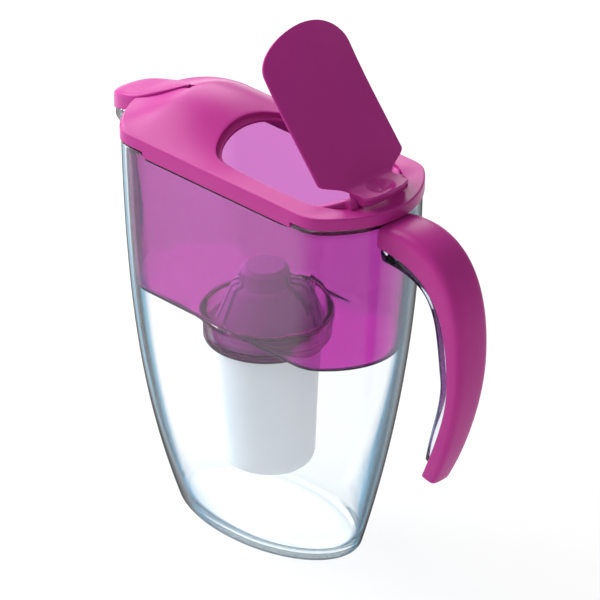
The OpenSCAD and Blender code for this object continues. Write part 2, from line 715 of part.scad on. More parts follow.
function leaf_section(t) =
    let (w = max(leaf_nib, leaf_half_w(t)), wi = max(leaf_nib / 3, w - leaf_t),
         lip = leaf_lip * min(1, 0.3 + 3 * t), x = leaf_x(t), z = leaf_z(t),
         outer = [for (p = leaf_profile) [x, p[0] * w, z + p[1] * lip]],
         inner = [for (i = [len(leaf_profile) - 1:-1:0]) let (p = leaf_profile[i])
                  [x, p[0] * wi, p[1] < -0.9 ? z - lip : z + p[1] * lip * 0.3 - min(leaf_t, lip * 0.7)]])
    concat(outer, inner);

module spout_flap() {
    rings = concat([for (i = [0:13]) leaf_section(leaf_steps[i])], [leaf_section(0.985)]);
    n = len(rings[0]);
    m = len(rings);
    color(magenta)
        union() {
            polyhedron([for (r = rings) each r],
                       concat(skin_faces(n, m, false), strip_cap(n, 0, false), strip_cap(n,
                            (m - 1) * n, true)));
            translate([leaf_hinge_x, 0, leaf_hinge_z])
                rotate([90, 0, 0])
                    cylinder(h = 2 * (leaf_hinge_half + leaf_pin_l), r = leaf_pin_d / 2, center = true);
            translate([leaf_hinge_x - leaf_post_size[0] / 2, -leaf_post_size[1] / 2,
                       leaf_hinge_z - leaf_post_low])
                cube(leaf_post_size);
        }
}

jug();
handle_cover();
hopper();
cartridge_body();
cartridge_base();
bottom_felt();
sorbent_bed();
top_screen();
cartridge_seal();
cartridge_cap();
lid();
flip_flap();
spout_flap();
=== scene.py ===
"""Looks of a water filter pitcher with a flip lid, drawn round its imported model."""

import logging
import math
from dataclasses import dataclass, field
from enum import Enum
from typing import Any, Sequence

import bmesh
import bpy
import numpy as np
from mathutils import Matrix, Vector


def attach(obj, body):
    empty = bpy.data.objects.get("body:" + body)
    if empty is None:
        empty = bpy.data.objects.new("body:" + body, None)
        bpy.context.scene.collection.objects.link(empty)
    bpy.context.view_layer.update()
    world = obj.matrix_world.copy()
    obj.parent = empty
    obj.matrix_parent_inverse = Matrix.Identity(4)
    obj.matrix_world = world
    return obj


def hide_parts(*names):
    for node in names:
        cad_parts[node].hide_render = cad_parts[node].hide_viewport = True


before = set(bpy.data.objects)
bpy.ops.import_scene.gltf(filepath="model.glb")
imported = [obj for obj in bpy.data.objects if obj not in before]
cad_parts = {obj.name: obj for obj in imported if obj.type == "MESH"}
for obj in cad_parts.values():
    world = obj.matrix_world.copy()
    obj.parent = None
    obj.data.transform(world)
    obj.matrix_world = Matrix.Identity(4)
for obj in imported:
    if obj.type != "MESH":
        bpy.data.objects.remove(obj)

LOG = logging.getLogger("pitcher")
MM = 0.001
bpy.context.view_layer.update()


class Body(Enum):
    """The moving bodies that pieces ride on."""

    JUG = "jug"
    HOPPER = "hopper"
    CARTRIDGE = "cartridge"
    LID = "lid"
    FLIP_FLAP = "flip_flap"
    SPOUT_FLAP = "spout_flap"


class Slot(Enum):
    """The record's material slots."""

    CLEAR = "clear_jug"
    MAGENTA = "magenta"
    TINTED = "tinted"


# ---------------------------------------------------------------- numbers and curves


def smooth_min(a: np.ndarray, b: np.ndarray, r: float) -> np.ndarray:
    """The lesser of a and b, rounded where they meet.

    Args:
        a: First values, in mm.
        b: Second values, in mm.
        r: Width over which the two blend, in mm.

    Returns:
        The blended values.
    """
    h = np.maximum(r - np.abs(a - b), 0.0) / r
    return np.minimum(a, b) - h * h * r / 4.0


def mix(a: Any, b: Any, t: Any) -> Any:
    """Returns the value at share t of the way from a to b."""
    return a + (b - a) * t


def share(value: Any) -> np.ndarray:
    """Returns value held between 0 and 1."""
    return np.clip(value, 0.0, 1.0)


def ease(value: Any) -> np.ndarray:
    """Returns a soft step from 0 to 1 as value goes from 0 to 1."""
    t = share(value)
    return t * t * (3.0 - 2.0 * t)


def fall(value: Any) -> np.ndarray:
    """Returns a half cosine wave from 1 to 0 as value goes from 0 to 1."""
    return 0.5 + 0.5 * np.cos(np.pi * share(value))


def bezier(points: Sequence[Sequence[float]], t: float) -> np.ndarray:
    """A point on a cubic curve.

    Args:
        points: The four control points.
        t: Place on the curve, 0 to 1.

    Returns:
        The point.
    """
    p = np.asarray(points, dtype=float)
    u = 1.0 - t
    return u**3 * p[0] + 3 * t * u**2 * p[1] + 3 * t * t * u * p[2] + t**3 * p[3]


def arch(power: float, count: int, width: float = 14.0, depth: float = 24.0) -> np.ndarray:
    """Half of a squarish oval, from one foot over the crown to the other.

    Args:
        power: Squareness; 2 is an ellipse.
        count: Number of points.
        width: Half width that the spacing is worked out for, in mm.
        depth: Depth that the spacing is worked out for, in mm.

    Returns:
        Rows of (share of the half width, share of the depth), evenly spaced.
    """
    u = np.linspace(0.0, np.pi, 4001)
    y = np.sign(np.cos(u)) * np.abs(np.cos(u)) ** (2.0 / power)
    r = np.abs(np.sin(u)) ** (2.0 / power)
    way = np.concatenate([[0.0], np.cumsum(np.hypot(np.diff(y) * width, np.diff(r) * depth))])
    even = np.linspace(0.0, way[-1], count)
    return np.stack([np.interp(even, way, y), np.interp(even, way, r)], axis=1)


def rounded(points: Sequence[Sequence[float]], passes: int = 3) -> np.ndarray:
    """Cuts the corners off an open line, again and again, and keeps its ends.

    Args:
        points: The line's corners.
        passes: How many times the corners are cut.

    Returns:
        The softened line's points.
    """
    line = np.asarray(points, dtype=float)
    for _ in range(passes):
        a, b = line[:-1], line[1:]
        cut = np.stack([0.75 * a + 0.25 * b, 0.25 * a + 0.75 * b], axis=1).reshape(-1, line.shape[1])
        line = np.concatenate([line[:1], cut, line[-1:]])
    return line


# ---------------------------------------------------------------- meshes


def new_piece(name: str, verts: np.ndarray, faces: list, sharp_deg: float = 40.0) -> bpy.types.Object:
    """Makes a mesh object with its faces turned outwards.

    Args:
        name: The piece's name.
        verts: Points in mm, one row each.
        faces: Lists of point numbers.
        sharp_deg: Edges that turn by more than this stay crisp.

    Returns:
        The new object.
    """
    mesh = bpy.data.meshes.new(name)
    mesh.from_pydata((verts * MM).tolist(), [], faces)
    piece = bpy.data.objects.new(name, mesh)
    bpy.context.collection.objects.link(piece)
    return finish_mesh(piece, sharp_deg)


def finish_mesh(piece: bpy.types.Object, sharp_deg: float = 40.0) -> bpy.types.Object:
    """Turns a piece's faces outwards and shades them smooth between its crisp edges.

    Args:
        piece: The piece.
        sharp_deg: Edges that turn by more than this stay crisp.

    Returns:
        The same piece.
    """
    work = bmesh.new()
    work.from_mesh(piece.data)
    bmesh.ops.remove_doubles(work, verts=work.verts, dist=1e-7)
    bmesh.ops.dissolve_degenerate(work, edges=work.edges, dist=1e-7)
    bmesh.ops.recalc_face_normals(work, faces=work.faces)
    work.to_mesh(piece.data)
    work.free()
    piece.data.shade_smooth()
    piece.data.set_sharp_from_angle(angle=math.radians(sharp_deg))
    piece.data.update()
    return piece


def skin(rows: int, count: int, closed: bool) -> list:
    """Quads between rings of points.

    Args:
        rows: Number of rings.
        count: Points in each ring.
        closed: True where the last ring joins the first.

    Returns:
        Lists of four point numbers.
    """
    last = rows if closed else rows - 1
    j = np.arange(count)
    k = (j + 1) % count
    quads = []
    for i in range(last):
        a, b = i * count, ((i + 1) % rows) * count
        quads.append(np.stack([a + j, b + j, b + k, a + k], axis=1))
    return np.concatenate(quads).tolist()


def loft(name: str, rings: np.ndarray, closed: bool = False, sharp_deg: float = 40.0) -> bpy.types.Object:
    """Makes a solid between rings, capped at both ends or running round into itself.

    Args:
        name: The piece's name.
        rings: Points in mm, as ring, point, coordinate.
        closed: True where the last ring joins the first.
        sharp_deg: Edges that turn by more than this stay crisp.

    Returns:
        The new object.
    """
    rows, count, _ = rings.shape
    faces = skin(rows, count, closed)
    if not closed:
        faces.append(list(range(count)))
        faces.append(list(range(rows * count - 1, (rows - 1) * count - 1, -1)))
    return new_piece(name, rings.reshape(-1, 3), faces, sharp_deg)


def prism(name: str, side: Sequence[Sequence[float]], low: float, high: float, axis: str = "Y",
          bevel: float = 0.0) -> bpy.types.Object:
    """Makes a straight block from a flat outline.

    Args:
        name: The piece's name.
        side: The outline's corners, in mm.
        low: Where the block starts on its axis, in mm.
        high: Where the block ends on its axis, in mm.
        axis: Y for an outline in XZ, Z for one in XY.
        bevel: Radius that the block's edges are rounded to, in mm.

    Returns:
        The new object.
    """
    flat = np.asarray(side, dtype=float)
    count = len(flat)
    rows = []
    for place in (low, high):
        across = np.full(count, place)
        rows.append(np.stack([flat[:, 0], across, flat[:, 1]] if axis == "Y"
                             else [flat[:, 0], flat[:, 1], across], axis=1))
    piece = loft(name, np.stack(rows))
    if bevel > 0.0:
        mod = piece.modifiers.new("edges", "BEVEL")
        mod.width, mod.segments, mod.limit_method = bevel * MM, 3, "ANGLE"
        mod.angle_limit = math.radians(35.0)
        bake_modifiers(piece)
    return piece


def disc(x: float, z: float, r: float, count: int) -> np.ndarray:
    """Returns a circle's points in the XZ plane."""
    turn = np.radians(np.linspace(0, 360, count + 1)[:-1])
    return np.stack([x + r * np.cos(turn), z + r * np.sin(turn)], axis=1)


def bake_modifiers(piece: bpy.types.Object) -> None:
    """Applies a piece's modifiers to its mesh."""
    graph = bpy.context.evaluated_depsgraph_get()
    mesh = bpy.data.meshes.new_from_object(piece.evaluated_get(graph))
    piece.modifiers.clear()
    old, piece.data = piece.data, mesh
    bpy.data.meshes.remove(old)


def combine(piece: bpy.types.Object, other: bpy.types.Object, how: str, sharp_deg: float = 40.0) -> None:
    """Adds another piece to a piece, or cuts it away, and removes the other.

    Args:
        piece: The piece that stays.
        other: The piece that is added or cut away.
        how: UNION or DIFFERENCE.
        sharp_deg: Edges that turn by more than this stay crisp.
    """
    mod = piece.modifiers.new(how.lower(), "BOOLEAN")
    mod.operation, mod.solver, mod.object = how, "EXACT", other
    bake_modifiers(piece)
    bpy.data.objects.remove(other)
    finish_mesh(piece, sharp_deg)


def join(piece: bpy.types.Object, others: Sequence[bpy.types.Object]) -> None:
    """Puts other pieces' meshes into a piece.

    Args:
        piece: The piece that stays.
        others: The pieces that become part of it.
    """
    work = bmesh.new()
    work.from_mesh(piece.data)
    for other in others:
        work.from_mesh(other.data)
        bpy.data.objects.remove(other)
    work.to_mesh(piece.data)
    work.free()


# ---------------------------------------------------------------- materials


def linear(code: str) -> tuple[float, float, float, float]:
    """Turns an sRGB hex colour to linear light.

    Args:
        code: Six hex digits after a hash.

    Returns:
        Red, green, blue and an alpha of 1.
    """
    parts = [int(code[i:i + 2], 16) / 255.0 for i in (1, 3, 5)]
    red, green, blue = (c / 12.92 if c <= 0.04045 else ((c + 0.055) / 1.055) ** 2.4 for c in parts)
    return (red, green, blue, 1.0)


def add(tree: bpy.types.NodeTree, kind: str, inputs: dict | None = None, **settings: Any) -> bpy.types.Node:
    """Adds a node with its settings and links.

    Args:
        tree: The tree that it goes into.
        kind: Blender's name for the node.
        inputs: Values or output sockets, by input name or number.
        **settings: The node's own properties.

    Returns:
        The new node.
    """
    node = tree.nodes.new(kind)
    for key, value in settings.items():
        setattr(node, key, value)
    for key, value in (inputs or {}).items():
        socket = node.inputs[key]
        if isinstance(value, bpy.types.NodeSocket):
            tree.links.new(value, socket)
        else:
            socket.default_value = value
    return node


def blank(name: str) -> tuple[bpy.types.Material, bpy.types.NodeTree, bpy.types.Node]:
    """Makes an empty material.

    Args:
        name: The material's name.

    Returns:
        The material, its tree and its output node.
    """
    material = bpy.data.materials.new(name)
    material.use_nodes = True
    tree = material.node_tree
    tree.nodes.clear()
    return material, tree, add(tree, "ShaderNodeOutputMaterial")


@dataclass(frozen=True)
class SatinPlastic:
    """Injection moulded plastic or rubber from a spark-eroded tool, with a soft sheen.

    The eye sees one broad, soft highlight and no mirrored shapes, on a pigment that shifts slowly.

    Attributes:
        name: The material's name.
        colour: The pigment, sRGB hex.
        deep: The pigment where the melt ran thicker, sRGB hex.
        roughness: Mean roughness.
        grain_mm: Size of the tool's grain.
        grain_depth_mm: Height of the grain.
        flow_mm: Size of the colour's slow change.
        gloss: Share of mirrored light; 0.5 is the plastic's own.
    """

    name: str
    colour: str
    deep: str
    roughness: float = 0.34
    grain_mm: float = 0.9
    grain_depth_mm: float = 0.012
    flow_mm: float = 45.0
    gloss: float = 0.5

    def material(self) -> bpy.types.Material:
        """Returns the finish as a material."""
        made, tree, out = blank(self.name)
        place = add(tree, "ShaderNodeTexCoord").outputs["Object"]
        flow = add(tree, "ShaderNodeTexNoise", {"Vector": place, "Scale": 1.0 / (self.flow_mm * MM),
                                                "Detail": 2.0, "Roughness": 0.5})
        grain = add(tree, "ShaderNodeTexNoise", {"Vector": place, "Scale": 1.0 / (self.grain_mm * MM),
                                                 "Detail": 3.0, "Roughness": 0.6})
        colour = add(tree, "ShaderNodeMix", {"Factor": flow.outputs["Fac"], "A": linear(self.colour),
                                             "B": linear(self.deep)}, data_type="RGBA")
        rough = add(tree, "ShaderNodeMapRange", {"Value": grain.outputs["Fac"], "From Min": 0.3, "From Max": 0.7,
                                                 "To Min": self.roughness - 0.04, "To Max": self.roughness + 0.05})
        bump = add(tree, "ShaderNodeBump", {"Strength": 0.35, "Distance": self.grain_depth_mm * MM,
                                            "Height": grain.outputs["Fac"]})
        shader = add(tree, "ShaderNodeBsdfPrincipled",
                     {"Base Color": colour.outputs[2], "Roughness": rough.outputs["Result"],
                      "Normal": bump.outputs["Normal"], "IOR": 1.5, "Specular IOR Level": self.gloss})
        tree.links.new(shader.outputs[0], out.inputs["Surface"])
        return made


@dataclass(frozen=True)
class ClearPlastic:
    """Styrene acrylonitrile from a polished tool: a clear wall whose tint shows along its length.

    The eye sees straight through its faces, and narrow highlights along its creases. Where the
    wall turns away, its colour darkens and a dark matt shader is mixed in: painted shade and a
    painted dark outline, standing in for the dark surroundings that a real wall reflects and
    bends into view at its edge. Plain glass of this thickness leaves that outline too pale in a
    white room. That is a device and not optics.

    Attributes:
        name: The material's name.
        passes: What the tint lets through, as linear shares.
        per_metre: Strength of the tint, per metre.
        lamp: What lamps keep of their colour on their way through one face, sRGB hex.
        face: Tint of a face that is seen straight on, sRGB hex.
        tint_and_painted_shade: Colour where the wall begins to turn away, sRGB hex; the wall's own hue, darkened as
            painted shade.
        painted_dark_outline: Colour at the outline, sRGB hex; a painted dark outline.
        face_until: Turn up to which a face keeps its tint; 0 is straight on and 1 is edge on.
        painted_shade_at: Turn at which the middle colour of the painted shade is reached.
        painted_dark_outline_at: Turn at which the painted dark outline's colour is reached.
        painted_outline_from: Turn from which the matt shader of the painted dark outline comes in.
        painted_outline_full_at: Turn at which it is complete.
        painted_outline_share: Its share there.
        mirror: Tint of the mirrored room, sRGB hex; grey, because the room is dimmer than the sweep.
        ripple_mm: Size of the polish's slow waves.
        ripple_depth_mm: Height of the waves.
    """

    name: str
    passes: tuple[float, float, float]
    per_metre: float
    lamp: str
    face: str
    tint_and_painted_shade: str
    painted_dark_outline: str
    face_until: float = 0.46
    painted_shade_at: float = 0.62
    painted_dark_outline_at: float = 0.76
    painted_outline_from: float = 0.7
    painted_outline_full_at: float = 0.86
    painted_outline_share: float = 0.85
    mirror: str = "#5A5A5A"
    ripple_mm: float = 26.0
    ripple_depth_mm: float = 0.05

    def material(self) -> bpy.types.Material:
        """Returns the finish as a material."""
        made, tree, out = blank(self.name)
        place = add(tree, "ShaderNodeTexCoord").outputs["Object"]
        ripple = add(tree, "ShaderNodeTexNoise", {"Vector": place, "Scale": 1.0 / (self.ripple_mm * MM),
                                                  "Detail": 1.0, "Roughness": 0.4})
        bump = add(tree, "ShaderNodeBump", {"Strength": 0.6, "Distance": self.ripple_depth_mm * MM,
                                            "Height": ripple.outputs["Fac"]})
        turned = add(tree, "ShaderNodeLayerWeight", {"Blend": 0.5}).outputs["Facing"]
        # The wall's colour darkens as it turns away from the eye, to near black at the outline: painted shade and a
        # painted dark outline.
        edge = add(tree, "ShaderNodeValToRGB", {0: turned})
        ramp = edge.color_ramp
        ramp.elements[0].position, ramp.elements[0].color = self.face_until, linear(self.face)
        ramp.elements[1].position, ramp.elements[1].color = self.painted_dark_outline_at, linear(self.painted_dark_outline)
        middle = ramp.elements.new(self.painted_shade_at)
        middle.color = linear(self.tint_and_painted_shade)
        wall = add(tree, "ShaderNodeBsdfPrincipled",
                   {"Base Color": edge.outputs["Color"], "Roughness": 0.0, "IOR": 1.5, "Transmission Weight": 1.0,
                    "Specular Tint": linear(self.mirror), "Normal": bump.outputs["Normal"]})
        # Near the outline a dark matt shader is mixed in: a painted dark outline.
        last = add(tree, "ShaderNodeMapRange", {"Value": turned, "From Min": self.painted_outline_from,
                                                "From Max": self.painted_outline_full_at, "To Max": self.painted_outline_share})
        deep = add(tree, "ShaderNodeBsdfDiffuse", {"Color": linear(self.painted_dark_outline)})
        wall = add(tree, "ShaderNodeMixShader", {0: last.outputs[0], 1: wall.outputs[0], 2: deep.outputs[0]})
        lamps = add(tree, "ShaderNodeBsdfTransparent", {"Color": linear(self.lamp)})
        path = add(tree, "ShaderNodeLightPath")
        both = add(tree, "ShaderNodeMixShader", {0: path.outputs["Is Shadow Ray"], 1: wall.outputs[0],
                                                 2: lamps.outputs[0]})
        inside = add(tree, "ShaderNodeVolumeAbsorption", {"Color": (*self.passes, 1.0),
                                                          "Density": self.per_metre})
        tree.links.new(both.outputs[0], out.inputs["Surface"])
        tree.links.new(inside.outputs[0], out.inputs["Volume"])
        return made


@dataclass(frozen=True)
class Granules:
    """Activated carbon and resin beads in one bed; the eye sees dark, dry, coarse grit."""

    name: str = "activated_carbon_granules"
    bead_mm: float = 1.1
    bead_depth_mm: float = 0.4
    carbon: str = "#222225"
    resin: str = "#8C6F3E"

    def material(self) -> bpy.types.Material:
        """Returns the finish as a material."""
        made, tree, out = blank(self.name)
        place = add(tree, "ShaderNodeTexCoord").outputs["Object"]
        beads = add(tree, "ShaderNodeTexVoronoi", {"Vector": place, "Scale": 1.0 / (self.bead_mm * MM)})
        pick = add(tree, "ShaderNodeSeparateColor", {0: beads.outputs["Color"]})
        tone = add(tree, "ShaderNodeMix", {"Factor": pick.outputs[0], "A": linear(self.carbon),
                                           "B": linear(self.resin)}, data_type="RGBA")
        bump = add(tree, "ShaderNodeBump", {"Strength": 0.9, "Distance": self.bead_depth_mm * MM,
                                            "Height": beads.outputs["Distance"]}, invert=True)
        shader = add(tree, "ShaderNodeBsdfPrincipled", {"Base Color": tone.outputs[2], "Roughness": 0.85,
                                                        "Normal": bump.outputs["Normal"]})
        tree.links.new(shader.outputs[0], out.inputs["Surface"])
        return made


@dataclass(frozen=True)
class Woven:
    """Polyester cloth; the eye sees a dry surface with fine crossed threads.

    Real threads are about 0.1 mm, too fine to show, so they are drawn 0.4 to 0.5 mm wide. The
    felt is needled and not woven, and crossed threads stand in for its fibres.
    """

    name: str
    thread_mm: float
    light: str
    dark: str
    roughness: float = 0.9

    def material(self) -> bpy.types.Material:
        """Returns the finish as a material."""
        made, tree, out = blank(self.name)
        place = add(tree, "ShaderNodeTexCoord").outputs["Object"]
        # A wave node's bands lie 2 pi / (20 * scale) apart
        pitch = 2.0 * math.pi / (20.0 * self.thread_mm * MM)
        warp = add(tree, "ShaderNodeTexWave", {"Vector": place, "Scale": pitch}, bands_direction="X")
        weft = add(tree, "ShaderNodeTexWave", {"Vector": place, "Scale": pitch}, bands_direction="Y")
        cross = add(tree, "ShaderNodeMath", {0: warp.outputs["Fac"], 1: weft.outputs["Fac"]}, operation="MAXIMUM")
        tone = add(tree, "ShaderNodeMix", {"Factor": cross.outputs[0], "A": linear(self.dark),
                                           "B": linear(self.light)}, data_type="RGBA")
        bump = add(tree, "ShaderNodeBump", {"Strength": 0.6, "Distance": 0.15 * MM, "Height": cross.outputs[0]})
        shader = add(tree, "ShaderNodeBsdfPrincipled", {"Base Color": tone.outputs[2],
                                                        "Roughness": self.roughness,
                                                        "Normal": bump.outputs["Normal"]})
        tree.links.new(shader.outputs[0], out.inputs["Surface"])
        return made


# ---------------------------------------------------------------- the pitcher's forms


@dataclass(frozen=True)
class JugForm:
    """The jug's growth from an oval base to a flat-sided rim, in mm; all walls follow it."""

    height: float = 241.0
    base_l: float = 134.0
    base_w: float = 75.6
    rim_back: float = 104.0
    rim_front: float = 97.0
    end_w: float = 141.0
    flats_low: float = 83.4
    flats_top: float = 91.4
    crease: float = 5.0
    beak_reach: float = 29.0
    beak_rise: float = 74.0
    beak_drop: float = 9.5
    beak_half: float = 19.0
    ends: int = 40
    flats: int = 15

    def grown(self, low: float, top: float, z: Any, power: float) -> np.ndarray:
        """Returns a reach that grows from low at the base to top at the rim."""
        return mix(low, top, 1.0 - (1.0 - share(z / self.height)) ** power)

    def back(self, z: Any) -> np.ndarray:
        """Returns the reach towards the handle at height z."""
        return self.grown(self.base_l / 2, self.rim_back, z, 2.0)

    def front(self, z: Any) -> np.ndarray:
        """Returns the reach towards the spout at height z, without the spout."""
        return self.grown(self.base_l / 2, self.rim_front, z, 4.0)

    def width(self, z: Any) -> np.ndarray:
        """Returns the half width that the round ends would grow to at height z."""
        return self.grown(self.base_w / 2, self.end_w / 2, z, 1.75)

    def beak(self, z: Any) -> np.ndarray:
        """Returns how far the spout stands out at height z."""
        rise = (z - (self.height - self.beak_drop) + self.beak_rise) / self.beak_rise
        return self.beak_reach * share(rise) ** 1.2

    def beak_shape(self, y: Any) -> np.ndarray:
        """Returns the spout's share across its width."""
        return np.maximum(0.0, 1.0 - (y / self.beak_half) ** 2) ** 1.5

    def outline(self, back: Any, front: Any, b: Any, w: Any, beak: Any = 0.0) -> np.ndarray:
        """Plan outlines with round ends, flat sides and a spout.

        Args:
            back: Reaches towards the handle.
            front: Reaches towards the spout.
            b: Half widths of the round ends, if they went on.
            w: Half distances between the flats.
            beak: Reaches of the spout.

        Returns:
            Points as ring, point, (x, y).
        """
        back, front, b, w, beak = (np.reshape(np.asarray(v, dtype=float), (-1, 1)) for v in
                                   np.broadcast_arrays(back, front, b, w, beak))
        crest = np.minimum(np.radians(72.0), np.arcsin(np.minimum(1.0, w / b)))
        up = np.arange(self.ends) / self.ends
        on = np.arange(self.flats + 1) / self.flats
        t = np.concatenate([crest * up, crest + (np.pi / 2 - crest) * on], axis=1)
        y = smooth_min(b * np.sin(t), w, self.crease)
        xb = back * np.cos(t)
        xf = -front * np.cos(t) - beak * self.beak_shape(y)
        n = t.shape[1] - 1
        x = np.concatenate([xb[:, :n], xf[:, n:0:-1], xf[:, :n], xb[:, n:0:-1]], axis=1)
        y = np.concatenate([y[:, :n], y[:, n:0:-1], -y[:, :n], -y[:, n:0:-1]], axis=1)
        return np.stack([x, y], axis=2)

    def plan_at(self, z: Any, inset: Any, beak: Any) -> np.ndarray:
        """Returns the body's plan outlines at heights z, drawn in by inset, with a spout of reach beak."""
        flat = mix(self.flats_low, self.flats_top, z / self.height) / 2
        return self.outline(self.back(z) - inset, self.front(z) - inset, self.width(z) - inset, flat - inset, beak)

    def end_x(self, y: np.ndarray, z: np.ndarray) -> np.ndarray:
        """Returns the x of the round end towards the handle, at y and height z."""
        return self.back(z) * np.sqrt(1 - (y / self.width(z)) ** 2)

    def wall(self, z: Any, inset: Any = 0.0, spout: bool = False) -> np.ndarray:
        """Level rings of the body.

        Args:
            z: Heights.
            inset: How far each ring is drawn in.
            spout: True where the rings follow the spout.

        Returns:
            Points as ring, point, (x, y, z).
        """
        z, inset = np.broadcast_arrays(np.asarray(z, dtype=float), np.asarray(inset, dtype=float))
        z, inset = z.ravel(), inset.ravel()
        return raised(self.plan_at(z, inset, self.beak(z) if spout else 0.0), z)


def raised(plan: np.ndarray, z: Any) -> np.ndarray:
    """Gives plan outlines their heights.

    Args:
        plan: Points as ring, point, (x, y).
        z: One height for all, one for each ring, or one for each point.

    Returns:
        Points as ring, point, (x, y, z).
    """
    z = np.asarray(z, dtype=float)
    if z.ndim == 1:
        z = z[:, None]
    return np.concatenate([plan, np.broadcast_to(z, plan.shape[:2])[..., None]], axis=2)


FORM = JugForm()


@dataclass
class Jug:
    """The clear jug: body, spout and handle core, one moulding in the real thing."""

    wall: float = 2.6
    floor: float = 4.4
    edge: float = 4.0
    notch_front: float = 56.0
    notch_back: float = 66.0
    notch_drop: float = 3.7
    foot_h: float = 3.6
    neck: float = 226.5
    bowl_h: float = 8.0
    bowl_w: float = 7.0

    def rim_height(self, plan: np.ndarray) -> np.ndarray:
        """Height of the rim over each point of an outline.

        Args:
            plan: Points as ring, point, (x, y).

        Returns:
            Heights as ring, point.
        """
        x, y = plan[..., 0], plan[..., 1]
        dip = FORM.beak_drop * FORM.beak_shape(y) * ease((-x - FORM.rim_front * 0.75) / 8.0)
        side = ease((np.abs(y) - 40.0) / 3.0)
        notch = self.notch_drop * ease((x + self.notch_front) / 1.5) * ease((self.notch_back - x) / 1.5)
        return FORM.height - dip - notch * side

    def band(self, inset: float, steps: int, start: float) -> np.ndarray:
        """Rings from a level height up to just under the dipping rim.

        Args:
            inset: How far the rings are drawn in.
            steps: Number of rings.
            start: Height of the level ring below them.

        Returns:
            Points as ring, point, (x, y, z).
        """
        shares = np.linspace(0.0, 1.0, steps + 1)[1:]
        rim_plan = FORM.wall(np.full(steps, FORM.height), inset, spout=True)[..., :2]
        top = self.rim_height(rim_plan) - self.wall / 2
        z = mix(start, top, shares[:, None])
        return raised(FORM.plan_at(z.max(axis=1), inset, FORM.beak_reach), z)

    def shell(self) -> bpy.types.Object:
        """Builds the body's wall, floor and rim."""
        turn = np.radians(np.linspace(0.0, 90.0, 9))
        foot = FORM.wall(self.foot_h * (1 - np.cos(turn)), self.edge * (1 - np.sin(turn)))
        levels = np.concatenate([np.linspace(6.0, 150.0, 38), np.linspace(153.0, self.neck, 26)])
        outer = FORM.wall(levels, 0.0, spout=True)
        upper = self.band(0.0, 6, self.neck)
        over = np.radians(np.linspace(15.0, 165.0, 7))
        half = self.wall / 2
        lip = []
        for angle in over:
            inset = half * (1 - math.cos(angle))
            plan = FORM.wall([FORM.height], inset, spout=True)[..., :2]
            lip.append(raised(plan, self.rim_height(plan) - half * (1 - math.sin(angle)))[0])
        inner_up = self.band(self.wall, 6, self.neck)[::-1]
        inner = FORM.wall(levels[levels > 16.0][::-1], self.wall, spout=True)
        bowl = np.radians(np.linspace(0.0, 90.0, 10))[1:]
        base = FORM.wall(self.floor + self.bowl_h * (1 - np.sin(bowl)), self.wall + self.bowl_w * (1 - np.cos(bowl)))
        rings = np.concatenate([foot, outer, upper, np.stack(lip), inner_up, inner, base])
        return loft("jug_body", rings, sharp_deg=60.0)

    def build(self) -> bpy.types.Object:
        """Builds the jug with its handle core."""
        jug = self.shell()
        combine(jug, Handle().core(), "UNION", sharp_deg=50.0)
        return jug


